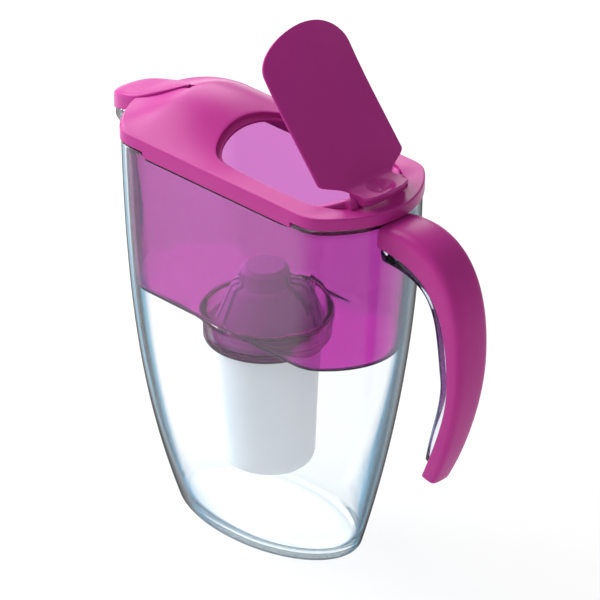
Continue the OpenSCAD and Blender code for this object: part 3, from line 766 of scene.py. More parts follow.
@dataclass
class Handle:
    """The handle's curves in the XZ plane: a clear core under a coloured channel."""

    reach: float = 61.0
    drop: float = 159.0
    top_w: float = 27.6
    tip_w: float = 14.0
    cover: float = 2.4
    gap: float = 0.2
    core_end: float = 1.84
    belly: float = 66.5
    crown: float = 5.5
    tip_start: float = 1.955
    sunk: float = 1.5
    steps: int = 56
    across: int = 44

    def __post_init__(self) -> None:
        """Works out the control points of the three curves."""
        x, h = FORM.rim_back + self.reach, FORM.height
        tip, belly = h - self.drop, h - self.belly
        self.outer = [[[x - 61, h - 0.6], [x - 21, h + 8.5], [x + 1, h - 15.5], [x, belly]],
                      [[x, belly], [x, belly - 30], [x - 12, tip + 24], [x - 25.5, tip]]]
        self.edge = [[[x - 61, h - 15], [x - 19, h - 17.5], [x - 10.5, h - 41.5], [x - 10.5, belly - 15]],
                     [[x - 10.5, belly - 15], [x - 10.5, belly - 37], [x - 23, tip + 28], [x - 35, tip + 2]]]
        self.inner = [[[x - 61, h - 26.5], [x - 21, h - 27.5], [x - 25, h - 45.5], [x - 20, belly - 20]],
                      [[x - 20, belly - 20], [x - 20, belly - 40], [x - 33, tip + 30], [x - 35, tip + 4]]]

    def on(self, curve: list, s: float) -> np.ndarray:
        """Returns a point of a two-piece curve, 0 at the rim and 2 at the tip."""
        return bezier(curve[0], s) if s < 1 else bezier(curve[1], s - 1)

    def half_w(self, s: float) -> float:
        """Returns the half width at place s."""
        return float(mix(self.top_w, self.tip_w, share(s / 2) ** 2.2)) / 2

    def place(self, s: float, across: np.ndarray, rise: np.ndarray, gap: float) -> np.ndarray:
        """Puts a section's points in space, and lays the first ones against the jug's wall.

        Args:
            s: Place on the handle.
            across: Distances across it, in mm.
            rise: Distances from the edge curve towards the crown, in mm.
            gap: Distance between the first section and the wall, in mm.

        Returns:
            Points as rows of (x, y, z).
        """
        a, b = self.on(self.edge, s), self.on(self.outer, s)
        way = (b - a) / np.linalg.norm(b - a)
        points = np.stack([a[0] + way[0] * rise, across, a[1] + way[1] * rise], axis=1)
        hold = ease(1.0 - s / 0.14)
        wall_x = FORM.end_x(across, points[:, 2]) + gap
        bow = wall_x - (FORM.rim_back + gap)
        points[:, 0] += bow * hold
        if s == 0.0:
            points[:, 0] = wall_x
        return points

    def channel(self) -> bpy.types.Object:
        """Builds the coloured cover, open towards the jug and solid at its tip."""
        crown = arch(self.crown, self.across)
        crown[:, 1] -= 0.08 * crown[:, 0] ** 2 * (1 - crown[:, 0] ** 2)
        edge_r = self.cover / 2
        turn = np.radians(np.linspace(0.0, 180.0, 7))[1:-1]
        rings = []
        tip_start = self.tip_start
        places = np.concatenate([np.linspace(0.0, tip_start, self.steps * 2),
                                 tip_start + (2.0 - tip_start) * np.sin(np.linspace(0.0, np.pi / 2, 12)[1:])])
        for s in places:
            depth = float(np.linalg.norm(self.on(self.outer, s) - self.on(self.edge, s)))
            w = self.half_w(s)
            full = 1.0 - ease((s - self.core_end) / 0.05)
            top_y = crown[:, 0] * w
            top_h = edge_r + crown[:, 1] * (depth - edge_r)
            low_y = crown[::-1, 0] * (w - self.cover)
            low_h = edge_r * mix(0.25, 1.0, full) + crown[::-1, 1] * mix(0.02, depth - self.cover - edge_r, full)
            left_y, left_h = -(w - edge_r + edge_r * np.cos(turn)), edge_r * (1 - np.sin(turn))
            y = np.concatenate([top_y, left_y, low_y, -left_y[::-1]])
            h = np.concatenate([top_h, left_h, low_h, left_h[::-1]])
            if s > tip_start:
                shrink = math.sqrt(max(0.0, 1.0 - ((s - tip_start) / (2.0 - tip_start)) ** 2)) * 0.9 + 0.1
                y, h = y * shrink, depth / 2 + (h - depth / 2) * shrink
            rings.append(self.place(s, y, h, self.gap))
        stack = np.stack(rings)
        count, k, r = stack.shape[1], self.across, len(turn)
        faces = skin(len(rings), count, False)
        faces += [[i, i + 1, 2 * k + r - 2 - i, 2 * k + r - 1 - i] for i in range(k - 1)]
        faces += [list(range(k - 1, k + r + 1)), [0, 2 * k + r - 1, *range(2 * k + r, count)]]
        last = (len(rings) - 1) * count
        faces.append([last + i for i in range(count)][::-1])
        return new_piece("handle_cover_shell", stack.reshape(-1, 3), faces, 35.0)

    def core(self) -> bpy.types.Object:
        """Builds the clear core inside the cover."""
        crown = arch(self.crown, self.across)
        belly = arch(3.6, 30, 12.0, 10.0)[1:-1]
        rings = []
        for s in np.linspace(0.0, self.core_end, self.steps * 2):
            a, b, c = self.on(self.edge, s), self.on(self.outer, s), self.on(self.inner, s)
            w = self.half_w(s) - self.cover - self.gap
            depth = float(np.linalg.norm(b - a))
            top = self.place(s, crown[:, 0] * w, crown[:, 1] * (depth - self.cover - self.gap), -self.sunk)
            way = (c - a) * belly[::-1, 1][:, None] * 1.03
            low = np.stack([a[0] + way[:, 0], belly[::-1, 0] * w, a[1] + way[:, 1]], axis=1)
            if s == 0.0:
                low[:, 0] = FORM.end_x(low[:, 1], low[:, 2]) - self.sunk
            rings.append(np.concatenate([top, low]))
        return loft("handle_core", np.stack(rings), sharp_deg=50.0)


@dataclass
class Hopper:
    """The tinted hopper: a rim band, a wall that follows the jug, a nearly flat floor and a well."""

    depth: float = 97.0
    wall: float = 2.0
    inset: float = 3.8
    lip: float = 1.4
    well_r: float = 37.5
    well_h: float = 16.0
    floor_fall: float = 2.5
    seat_r: float = 31.0
    seat: float = 3.0
    low_r: float = 3.4
    bowl_r: float = 1.6

    def build(self) -> bpy.types.Object:
        """Builds the hopper as one skin that runs round into itself."""
        h = FORM.height
        fz = h - self.depth
        turn = np.radians(np.linspace(0.0, 90.0, 9))
        count = 4 * (FORM.ends + FORM.flats)

        low_r, bowl_r = self.low_r, self.bowl_r
        under_edge = FORM.wall(fz + low_r * (1 - np.cos(turn)), self.inset + low_r * (1 - np.sin(turn)))
        side = FORM.wall(np.linspace(fz + 8.0, h - 7.5, 40), self.inset)
        band = FORM.wall([h - 7.0, h - 6.6, h - 0.3], [self.inset, self.inset - 0.7, self.inset - 0.7])
        lip_plan = FORM.outline(FORM.rim_back - 0.6, FORM.rim_front - 0.6, FORM.end_w / 2 - 0.6,
                                FORM.flats_top / 2 - 2.95)
        lip = np.concatenate([raised(lip_plan, h), raised(lip_plan, h + self.lip)])
        inside = FORM.wall(np.linspace(h + self.lip, fz + 8.0, 44), self.inset + self.wall)
        bowl = FORM.wall(fz + self.wall + bowl_r * (1 - np.sin(turn[1:])),
                         self.inset + self.wall + bowl_r * (1 - np.cos(turn[1:])))

        well_top = fz - self.floor_fall
        low = well_top - self.well_h
        inner_r = self.well_r - 2.0
        seat, r = low + self.seat, self.well_r
        profile = [(inner_r + 3.0, well_top + self.wall), (inner_r + 1.2, well_top + self.wall + 0.2),
                   (inner_r + 0.6, well_top + self.wall + 0.8), (inner_r, well_top + self.wall + 0.5),
                   (inner_r, well_top), (inner_r, seat + 1.0), (inner_r - 0.6, seat + 0.1), (inner_r - 1.6, seat),
                   (self.seat_r + 0.4, seat), (self.seat_r, seat - 0.4), (self.seat_r, low), (r - 1.6, low),
                   (r - 0.4, low + 0.4), (r, low + 1.6), (r, low + 5.4), (r - 0.35, low + 5.8), (r, low + 6.2),
                   (r, well_top - 1.6), (r + 0.5, well_top - 0.4), (r + 1.7, well_top)]
        over = [self.circle(radius, z, count) for radius, z in profile]
        floor_in = [mix(bowl[-1], over[0], t) for t in (0.2, 0.4, 0.6, 0.8, 0.95)]
        floor_out = [mix(over[-1], under_edge[0], t) for t in (0.05, 0.2, 0.4, 0.6, 0.8)]
        rings = np.concatenate([under_edge, side, band, lip, inside, bowl, np.stack(floor_in), np.stack(over),
                                np.stack(floor_out)])
        return loft("hopper_shell", rings, closed=True, sharp_deg=50.0)

    def circle(self, r: float, z: float, count: int) -> np.ndarray:
        """A level circle whose points face the hopper wall's points.

        Args:
            r: Radius.
            z: Height.
            count: Number of points.

        Returns:
            Points as rows of (x, y, z).
        """
        ring = FORM.wall([FORM.height - self.depth], self.inset)[0]
        even = 2.0 * np.pi * np.arange(count) / count
        facing = np.unwrap(np.arctan2(ring[:, 1], ring[:, 0]))
        angle = mix(even, facing, 0.5)
        return np.stack([r * np.cos(angle), r * np.sin(angle), np.full(count, z)], axis=1)


@dataclass
class Lid:
    """The lid: rounded edge, domed top with a stepped opening, skirt, hinge deck and side bands."""

    low: float = 242.5
    top: float = 248.7
    back: float = 106.0
    front: float = 98.5
    half_w: float = 46.6
    edge_r: float = 0.9
    thick: float = 2.4
    dome: float = 17.0
    crest: float = 56.0
    dome_half_w: float = 45.6
    crown: float = 2.5
    panel_back: float = 70.0
    opening_half_w: float = 35.0
    opening_front: float = 20.5
    opening_back: float = 94.6
    opening_side_back: float = 62.0
    ledge_drop: float = 2.9
    ledge_w: float = 3.2
    ledge_t: float = 1.6
    ledge_wall: float = 1.2
    skirt_in: float = 6.4
    skirt_t: float = 1.4
    skirt_h: float = 7.0
    hinge_x: float = 86.5
    hinge_z: float = 249.0
    deck_front: float = 74.0
    deck_t: float = 3.6
    boss_r: float = 4.4
    boss_y: tuple[float, float] = (17.1, 22.6)
    ramp_way: tuple[tuple[float, float], ...] = ((71.0, 33.4), (84.2, 20.4), (92.0, 19.7))
    ramp_rise: float = 6.2
    ramp_fall: float = 4.4
    band_x: tuple[float, float] = (-55.5, 65.5)
    band_y: tuple[float, float] = (43.1, 46.5)
    band_drop: float = 4.9
    leaf_cheek_y: tuple[float, float] = (3.3, 7.1)

    def crown_x(self, x: np.ndarray) -> np.ndarray:
        """Returns the dome's rise along the pitcher."""
        rear = (self.crown + (self.dome - self.crown) * fall((x + self.crest) / 100.0) ** 1.5)
        rear = rear * fall((x - self.panel_back) / 16.0)
        v = share((-self.crest - x) / (self.front - self.crest))
        ahead = self.dome * mix(fall(v), (1.0 - v) ** 0.7, v)
        return np.where(x > -self.crest, rear, ahead)

    def height(self, x: np.ndarray, y: np.ndarray) -> np.ndarray:
        """Returns the height of the lid's upper surface, closed flap and all."""
        return self.top + self.crown_x(x) * np.maximum(0.0, 1.0 - (y / self.dome_half_w) ** 2) ** 1.1

    def on_lid(self, plan: np.ndarray, drop: float) -> np.ndarray:
        """Lays an outline on the lid's upper surface.

        Args:
            plan: Points as rows of (x, y).
            drop: How far under the surface, in mm.

        Returns:
            Points as rows of (x, y, z).
        """
        return np.column_stack([plan, self.height(plan[:, 0], plan[:, 1]) - drop])

    def plan(self, inset: float) -> np.ndarray:
        """Returns the lid's outline, drawn in by inset."""
        return FORM.outline(self.back - inset, self.front - inset, FORM.end_w / 2 - inset, self.half_w - inset)[0]

    def skirt_plan(self, inset: float) -> np.ndarray:
        """Returns the outline of the skirt that plugs into the hopper, drawn in by inset."""
        return FORM.outline(FORM.rim_back - inset, FORM.rim_front - inset, FORM.end_w / 2 - inset,
                            FORM.flats_top / 2 - inset)[0]

    def opening(self, inset: float) -> np.ndarray:
        """The fill opening's outline, point for point with the lid's.

        Args:
            inset: How far it is drawn in, in mm.

        Returns:
            Points as rows of (x, y).
        """
        w = self.opening_half_w - inset
        rear = self.opening_back - self.opening_side_back - max(-0.6, min(inset, 0.8))
        n, m = FORM.ends, FORM.flats
        a = np.pi / 2 * np.arange(n) / n
        b = np.pi / 2 + np.pi / 2 * np.arange(n + 1) / n
        s = np.arange(2 * m) / (2 * m)
        half = np.concatenate([
            np.stack([self.opening_side_back + rear * np.cos(a), w * np.sin(a)], axis=1),
            np.stack([self.opening_side_back * (1 - s), np.full(2 * m, w)], axis=1),
            np.stack([(self.opening_front - inset) * np.cos(b), w * np.sin(b)], axis=1)])
        return np.concatenate([half, (half[1:-1] * [1.0, -1.0])[::-1]])

    def shell(self) -> bpy.types.Object:
        """Builds the lid's edge, dome, stepped opening, underside and skirt."""
        turn = np.radians(np.linspace(0.0, 90.0, 8))
        rings = [raised(self.plan(inset)[None], self.low + rise)[0] for inset, rise in
                 ((1.9, 0.0), (1.8, -1.1), (1.5, -1.3), (0.4, -1.3), (0.0, -0.9), (0.0, 2.5))]
        r = self.edge_r
        rings += [raised(self.plan(r * (1 - math.cos(t)))[None], self.top - r * (1 - math.sin(t)))[0] for t in turn]
        outer, hole = self.plan(r), self.opening(-0.5)
        rings += [self.on_lid(mix(outer, hole, t), 0.0) for t in np.linspace(0.0, 1.0, 44)[1:-1]]
        rings += [self.on_lid(self.opening(-0.5), 0.0), self.on_lid(self.opening(-0.15), 0.12),
                  self.on_lid(self.opening(0.0), 0.5), self.on_lid(self.opening(0.0), self.ledge_drop - 0.3),
                  self.on_lid(self.opening(0.3), self.ledge_drop)]
        rings += [self.on_lid(self.opening(self.ledge_w - 0.4), self.ledge_drop),
                  self.on_lid(self.opening(self.ledge_w), self.ledge_drop + 0.4),
                  self.on_lid(self.opening(self.ledge_w), self.ledge_drop + self.ledge_t),
                  self.on_lid(self.opening(-self.ledge_wall), self.ledge_drop + self.ledge_t)]
        skirt, hole = self.skirt_plan(self.skirt_in + self.skirt_t), self.opening(-self.ledge_wall)
        rings += [self.on_lid(mix(hole, skirt, t), self.thick) for t in np.linspace(0.0, 1.0, 24)[4:-2]]
        rings += [raised(skirt[None], self.top - self.thick)[0], raised(skirt[None], self.low - self.skirt_h)[0]]
        outside = self.skirt_plan(self.skirt_in)
        rings += [raised(outside[None], self.low - self.skirt_h)[0], raised(outside[None], self.low)[0]]
        return loft("lid_shell", np.stack(rings), closed=True, sharp_deg=38.0)

    def deck(self) -> bpy.types.Object:
        """Builds the floor under the thumb tab."""
        rim = self.skirt_plan(self.skirt_in + self.skirt_t / 2)
        left = rim[(rim[:, 0] > self.deck_front) & (rim[:, 1] >= 0)]
        left = left[np.argsort(left[:, 1])]
        right = (left[left[:, 1] > 0] * [1.0, -1.0])[::-1]
        y = left[-1, 1]
        side = np.concatenate([left, [[self.deck_front, y], [self.deck_front, -y]], right])
        z = self.low - self.skirt_h + 0.4
        return prism("hinge_deck", side, z, z + self.deck_t, "Z")

    def cheek(self, side: int) -> list[bpy.types.Object]:
        """Builds a hinge pin's boss and the ramp that carries it.

        Args:
            side: 1 or -1, the side of the pitcher.

        Returns:
            The two pieces.
        """
        low, high = sorted(side * y for y in self.boss_y)
        boss = prism(f"boss_{low:.0f}", disc(self.hinge_x, self.hinge_z, self.boss_r, 48), low, high, bevel=0.6)
        return [boss, self.ramp(side)]

    def ramp(self, side: int) -> bpy.types.Object:
        """Builds the ramp that climbs from the opening's edge to the thumb tab's side.

        Args:
            side: 1 or -1, the side of the pitcher.

        Returns:
            The ramp.
        """
        foot, head, tail = (np.array(v) for v in self.ramp_way)
        base = self.low - self.skirt_h + 3.0
        path = [(mix(foot, head, k), head - foot,
                 self.top - 0.5 + self.ramp_rise * float(ease(0.15 + 0.5 * k)) * k**0.3)
                for k in np.linspace(0.0, 0.96, 12)]
        summit = path[-1][2]
        path += [(mix(head, tail, k), tail - foot if k < 0.1 else tail - head,
                  summit - self.ramp_fall * float(ease(k)))
                 for k in np.linspace(0.0, 1.0, 9)]
        rings = []
        for middle, way, crest in path:
            out = np.array([-way[1], way[0]]) / np.linalg.norm(way)
            line = [(2.1, base), (2.1, crest - 1.0), (1.7, crest - 0.3), (0.9, crest), (-0.9, crest),
                    (-1.7, crest - 0.3), (-2.1, crest - 1.0), (-2.1, base)]
            rings.append([(*(middle + out * d), z) for d, z in line])
        stack = np.array(rings)
        stack[:, :, 1] *= side
        return loft(f"hinge_ramp_{side}", stack, sharp_deg=50.0)

    def side_band(self, side: int) -> bpy.types.Object:
        """Builds a band that hangs over the jug's rim.

        Args:
            side: 1 or -1, the side of the pitcher.

        Returns:
            The band.
        """
        x0, x1 = self.band_x
        z0, z1 = self.low - self.band_drop, self.low + 0.7
        low, high = sorted(side * y for y in self.band_y)
        return prism(f"band_{side}", [[x0, z0], [x1, z0], [x1, z1], [x0, z1]], low, high, bevel=0.7)

    def slot(self, leaf: "LeafFlap") -> bpy.types.Object:
        """Builds the block that cuts the leaf flap's slot.

        Args:
            leaf: The flap that lies in the slot.

        Returns:
            The block.
        """
        t = np.linspace(0.0, 0.95, 40)
        w = np.maximum(2.8, leaf.half_w(t, 0.8))
        x = leaf.x(t) + 2.6 * ease(1.0 - t / 0.05)
        half = np.stack([x, w], axis=1)
        far = leaf.x(1.1)
        side = np.concatenate([half, [[far, w[-1]], [far, -w[-1]]], (half * [1.0, -1.0])[::-1]])
        return prism("leaf_slot", side, self.low - self.skirt_h - 1.0, self.top + self.dome + 3.0, "Z")

    def build(self) -> bpy.types.Object:
        """Builds the whole lid."""
        lid = self.shell()
        combine(lid, self.slot(LeafFlap()), "DIFFERENCE", 38.0)
        extras = [self.deck()]
        for side in (-1, 1):
            extras += [*self.cheek(side), self.side_band(side)]
            low, high = sorted(side * y for y in self.leaf_cheek_y)
            extras.append(prism(f"leaf_cheek_{side}", [[-70, 258.1], [-65.6, 258.1], [-65.6, 261.3], [-70, 261.3]],
                                low, high, bevel=0.3))
        join(lid, extras)
        return lid


@dataclass
class FlipFlap:
    """The flip flap: a crowned panel and a bent thumb tab with a dimple, standing open."""

    lid: Lid = field(default_factory=Lid)
    opened: float = 50.0
    thick: float = 2.0
    half_w: float = 33.6
    start: float = 2.0
    nose: float = 19.98
    bend: float = 50.0
    bend_r: float = 3.0
    bend_at: float = 8.0
    tab_half: float = 17.0
    tab_side: float = 21.3
    tab_bow: float = 3.2
    skirt: float = 5.4
    dimple_at: float = 16.2
    dimple_r: float = 8.6
    dimple_deep: float = 3.2
    lug_y: float = 14.4
    lug_r: float = 4.0
    pin_r: float = 2.2
    pin_y: tuple[float, float] = (14.5, 20.7)

    def width(self, s: float) -> float:
        """Half width at a distance behind the bend.

        Args:
            s: Distance along the flap from its bend, minus on the panel.

        Returns:
            The half width, in mm.
        """
        x = self.lid.panel_back + s
        if x < self.start:
            return max(0.8, self.half_w * math.sqrt(max(0.0, 1 - ((self.start - x) / self.nose) ** 2)))
        if s <= 0:
            return self.half_w
        if s < self.bend_at:
            return mix(self.half_w, self.tab_half, s / self.bend_at)
        over = max(0.0, s - self.tab_side) / self.tab_bow
        return max(1.0, self.tab_half * math.sqrt(max(0.0, 1.0 - over**2)))

    def soft_width(self, s: float) -> float:
        """Returns the half width with its corners softened."""
        if s < -40 or s > self.tab_side - 3:
            return self.width(s)
        return sum(self.width(s + d) for d in (-1.6, -0.8, 0.0, 0.8, 1.6)) / 5

    def sheet(self) -> np.ndarray:
        """Rings across the flap, drawn closed.

        Returns:
            Points as ring, point, (x, y, z).
        """
        nose = self.start - self.nose * np.cos(np.linspace(0.0, np.pi / 2, 28)) - self.lid.panel_back
        tail = self.tab_side + self.tab_bow * np.sin(np.linspace(0.0, np.pi / 2, 16)) * 0.999
        places = np.concatenate([nose, np.linspace(nose[-1] + 2, -5, 30), np.linspace(-4, self.tab_side - 0.5, 52),
                                 tail])
        fine = np.linspace(-self.bend_r, self.bend_r, 121)
        angle = math.radians(self.bend) * ease((fine + self.bend_r) / (2 * self.bend_r))
        step = fine[1] - fine[0]
        run = np.concatenate([[0.0], np.cumsum(np.cos((angle[1:] + angle[:-1]) / 2) * step)]) - self.bend_r
        climb = np.concatenate([[0.0], np.cumsum(np.sin((angle[1:] + angle[:-1]) / 2) * step)])
        edge = self.thick / 2
        turn = np.radians(np.linspace(90.0, -90.0, 7))
        rings = []
        for s in places:
            past = s - self.bend_at
            lean = math.radians(self.bend) * float(ease((past + self.bend_r) / (2 * self.bend_r)))
            if past <= -self.bend_r:
                px, pz = s, 0.0
            elif past < self.bend_r:
                px = self.bend_at + float(np.interp(past, fine, run))
                pz = float(np.interp(past, fine, climb))
            else:
                px = self.bend_at + run[-1] + (past - self.bend_r) * math.cos(lean)
                pz = climb[-1] + (past - self.bend_r) * math.sin(lean)
            w = self.soft_width(s)
            e = min(edge, w * 0.5)
            flat = np.linspace(w - e, -(w - e), 41)
            y = np.concatenate([flat, -(w - e) - e * np.cos(turn[1:-1]), flat[::-1],
                                (w - e) + e * np.cos(turn[1:-1])])
            n = np.concatenate([np.zeros(41), edge * (np.sin(turn[1:-1]) - 1), np.full(41, -self.thick),
                                edge * (-np.sin(turn[1:-1]) - 1)])
            x_on = min(self.lid.panel_back + s, self.lid.panel_back)
            z = self.lid.height(np.full(len(y), x_on), y) + pz
            if s > 0:
                far = np.hypot(s - self.dimple_at, y)
                dent = self.dimple_deep * np.maximum(0.0, 1.0 - (far / self.dimple_r) ** 2) ** 1.15
                n = n - dent
            rings.append(np.stack([self.lid.panel_back + px - n * math.sin(lean), y, z + n * math.cos(lean)], axis=1))
        return np.stack(rings)

    def swing(self, points: np.ndarray, degrees: float) -> np.ndarray:
        """Turns points about the hinge.

        Args:
            points: Points as rows of (x, y, z).
            degrees: The angle; more opens the flap.

        Returns:
            The turned points.
        """
        a = math.radians(degrees)
        out = points.copy()
        x, z = points[..., 0] - self.lid.hinge_x, points[..., 2] - self.lid.hinge_z
        out[..., 0] = self.lid.hinge_x + x * math.cos(a) + z * math.sin(a)
        out[..., 2] = self.lid.hinge_z - x * math.sin(a) + z * math.cos(a)
        return out

    def tab_point(self, s: float) -> tuple[float, float]:
        """Place of the tab's top as it lies when the flap stands open.

        Args:
            s: Distance along the flap behind the start of the corner.

        Returns:
            x and z, in mm.
        """
        a = math.radians(self.opened)
        x, z = self.lid.panel_back + self.bend_at - self.lid.hinge_x, self.lid.top - self.lid.hinge_z
        return (self.lid.hinge_x + x * math.cos(a) + z * math.sin(a) + s - self.bend_at,
                self.lid.hinge_z - x * math.sin(a) + z * math.cos(a) + 0.35)

    def lugs(self) -> list[bpy.types.Object]:
        """Builds the tab's skirt, the hinge lugs and the pins, as they lie when the flap stands open."""
        hx, hz = self.lid.hinge_x, self.lid.hinge_z
        top = self.tab_point(0.0)[1] - 0.3
        t, edge = self.thick - 0.3, 0.5
        front, side = self.tab_point(self.bend_at + 2.5)[0], self.tab_point(self.tab_side)[0]
        around = np.linspace(-np.pi / 2, np.pi / 2, 61)
        path = [(front + (side - front) * k / 8, -1.0, 0.0, -1.0) for k in range(8)]
        path += [(side + self.tab_bow * math.cos(a), math.sin(a), math.cos(a) * self.tab_half,
                  math.sin(a) * self.tab_bow) for a in around]
        path += [(side - (side - front) * k / 8, 1.0, 0.0, 1.0) for k in range(1, 9)]
        rings = []
        for x, across, nx, ny in path:
            out = np.array([nx, ny]) / math.hypot(nx, ny)
            deep = self.skirt * float(mix(0.55, 1.0, ease((x - front) / 6.0)))
            line = [(0.1, 0.0), (0.1, -deep + edge), (0.1 + edge, -deep), (t - edge, -deep), (t, -deep + edge),
                    (t, 0.0)]
            rings.append([(x - out[0] * d, across * self.tab_half - out[1] * d, top + z) for d, z in line])
        pieces = [loft("tab_skirt", np.array(rings), sharp_deg=35.0)]
        for way in (-1, 1):
            y = way * self.lug_y
            low = np.radians(np.linspace(180.0, 360.0, 20))
            foot = np.stack([hx + self.lug_r * np.cos(low), hz + self.lug_r * np.sin(low)], axis=1)
            outline = np.concatenate([foot, [[hx + self.lug_r, top - 0.8], [hx - self.lug_r, top - 0.8]]])
            pieces.append(prism(f"lug_{way}", outline, y - 1.5, y + 1.5, bevel=0.4))
            a0, a1 = sorted(way * y for y in self.pin_y)
            pieces.append(prism(f"pin_{way}", disc(hx, hz, self.pin_r, 40), a0, a1))
        return pieces

    def build(self) -> bpy.types.Object:
        """Builds the flap in its open place."""
        flap = loft("flip_flap_sheet", self.swing(self.sheet(), self.opened), sharp_deg=45.0)
        join(flap, self.lugs())
        return flap


@dataclass
class LeafFlap:
    """The leaf-shaped flap over the spout, with turned-down edges."""

    length: float = 59.5
    wide: float = 31.0
    thick: float = 1.8
    tip_x: float = -64.0
    tip_z: float = 265.3
    slope: float = 0.393
    lip: float = 4.0
    hinge_x: float = -68.0
    hinge_z: float = 260.7
    lip_more: float = 6.4
    pin_half: float = 5.5
    post_half: float = 1.9

    def half_w(self, t: Any, grow: float = 0.0) -> np.ndarray:
        """Returns the half width at share t of the length, grown by grow."""
        t = np.asarray(t, dtype=float)
        rear = np.sin(np.pi / 2 * np.minimum(t, 0.6) / 0.6)
        nose = np.maximum(0.0, 1 - ((np.maximum(t, 0.6) - 0.6) / 0.4) ** 2.3) ** (1 / 2.1)
        return (self.wide / 2 + grow) * np.where(t < 0.6, rear, nose)

    def x(self, t: Any) -> np.ndarray:
        """Returns the place at share t of the length."""
        return self.tip_x - self.length * np.asarray(t, dtype=float)

    def z(self, t: Any) -> np.ndarray:
        """Returns the height at share t of the length."""
        t = np.asarray(t, dtype=float)
        return self.tip_z - self.length * (self.slope * t - 0.045 * ease((t - 0.45) / 0.5) + 0.03 * t**9)

    def lip_at(self, t: float) -> float:
        """Returns how far the side lips hang down at share t of the length."""
        return float(self.lip * min(1.0, 0.3 + 3 * t) + self.lip_more * ease((t - 0.2) / 0.35))

    def build(self) -> bpy.types.Object:
        """Builds the flap with its hinge pin."""
        line = rounded([[-1, -1], [-1, -0.35], [-0.9, 0.0], [-0.5, 0.12], [0, 0.16], [0.5, 0.12], [0.9, 0.0],
                        [1, -0.35], [1, -1]], 3)
        t_all = np.concatenate([np.linspace(0.0, 0.6, 40)[:-1],
                                0.6 + 0.4 * np.sin(np.linspace(0.0, np.pi / 2, 36)) * 0.992])
        rings = []
        for t in t_all:
            w = max(0.9, float(self.half_w(t)))
            lip = self.lip_at(t)
            bow = min(self.lip, lip)
            inner = max(0.3, w - self.thick)
            top = np.stack([line[:, 0] * w, self.z(t) + np.where(line[:, 1] < -0.9, -lip, line[:, 1] * bow)], axis=1)
            back = line[::-1]
            low_z = np.where(back[:, 1] < -0.9, self.z(t) - lip,
                             self.z(t) + back[:, 1] * bow * 0.3 - min(self.thick, bow * 0.7))
            low = np.stack([back[:, 0] * inner, low_z], axis=1)
            ring = np.concatenate([top, low])
            rings.append(np.column_stack([np.full(len(ring), self.x(t)), ring]))
        stack = np.stack(rings)
        count, k = stack.shape[1], len(line)
        faces = skin(len(rings), count, False)
        for first in (0, (len(rings) - 1) * count):
            faces += [[first + i, first + i + 1, first + count - 2 - i, first + count - 1 - i] for i in range(k - 1)]
        leaf = new_piece("leaf_flap_sheet", stack.reshape(-1, 3), faces, 45.0)
        pin = prism("leaf_pin", disc(self.hinge_x, self.hinge_z, 1.0, 32), -self.pin_half, self.pin_half)
        post = prism("leaf_post", [[-69.5, 259.7], [-66.5, 259.7], [-66.5, 262.3], [-69.5, 262.3]],
                     -self.post_half, self.post_half, bevel=0.3)
        join(leaf, [pin, post])
        return leaf


# ---------------------------------------------------------------- dressing and stage


@dataclass
class Pitcher:
    """The whole pitcher: new skins over six solids, and finishes on the seven cartridge solids."""

    magenta: SatinPlastic = SatinPlastic("satin_magenta_polypropylene", "#B23089", "#A82880", gloss=0.15)
    # Each clear finish's last two colours darken the wall where it turns away: painted shade, then a painted dark
    # outline.
    clear: ClearPlastic = ClearPlastic("clear_styrene_acrylonitrile", (0.30, 0.62, 0.80), 20.0, "#F4F8FA",
                                       "#FFFFFF", "#3F7FA4", "#04080E")
    tinted: ClearPlastic = ClearPlastic("magenta_tinted_styrene_acrylonitrile", (0.74, 0.08, 0.67), 740.0,
                                        "#F6E6F4", "#FFFFFF", "#DB94D0", "#5E1656")

    def dress(self, piece: bpy.types.Object, body: Body, node: str, finish: bpy.types.Material) -> None:
        """Gives a piece its finish and body in place of a solid.

        Args:
            piece: The piece.
            body: The body that it rides on.
            node: The solid that it stands for.
            finish: Its material.
        """
        piece.data.materials.clear()
        piece.data.materials.append(finish)
        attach(piece, body.value)
        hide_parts(node)
        LOG.info("%s: %d faces on %s", piece.name, len(piece.data.polygons), body.value)

    def coat(self, node: str, finish: bpy.types.Material) -> None:
        """Puts a finish on a solid that keeps its own mesh.

        Args:
            node: The solid's name.
            finish: The material.
        """
        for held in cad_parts[node].material_slots:
            held.material = finish
        LOG.info("%s: finish %s", node, finish.name)

    def build(self) -> None:
        """Builds and dresses every piece."""
        magenta, clear, tinted = self.magenta.material(), self.clear.material(), self.tinted.material()
        self.dress(Jug().build(), Body.JUG, "jug", clear)
        self.dress(Handle().channel(), Body.JUG, "handle_cover", magenta)
        self.dress(Hopper().build(), Body.HOPPER, "hopper", tinted)
        self.dress(Lid().build(), Body.LID, "lid", magenta)
        self.dress(FlipFlap().build(), Body.FLIP_FLAP, "flip_flap", magenta)
        self.dress(LeafFlap().build(), Body.SPOUT_FLAP, "spout_flap", magenta)
        white = SatinPlastic("white_polypropylene", "#F4F6F9", "#ECF0F5", roughness=0.4).material()
        for node in ("cartridge_body", "cartridge_base", "cartridge_cap"):
            self.coat(node, white)
        self.coat("cartridge_seal", SatinPlastic("silicone_rubber", "#C9C9CE", "#BDBDC3", roughness=0.6).material())
        self.coat("sorbent_bed", Granules().material())
        self.coat("bottom_felt", Woven("needled_polyester_felt", 0.5, "#EDEDE8", "#CFCFC8").material())
        self.coat("top_screen", Woven("woven_polyester_screen", 0.4, "#F2F2F2", "#8F9296", 0.6).material())


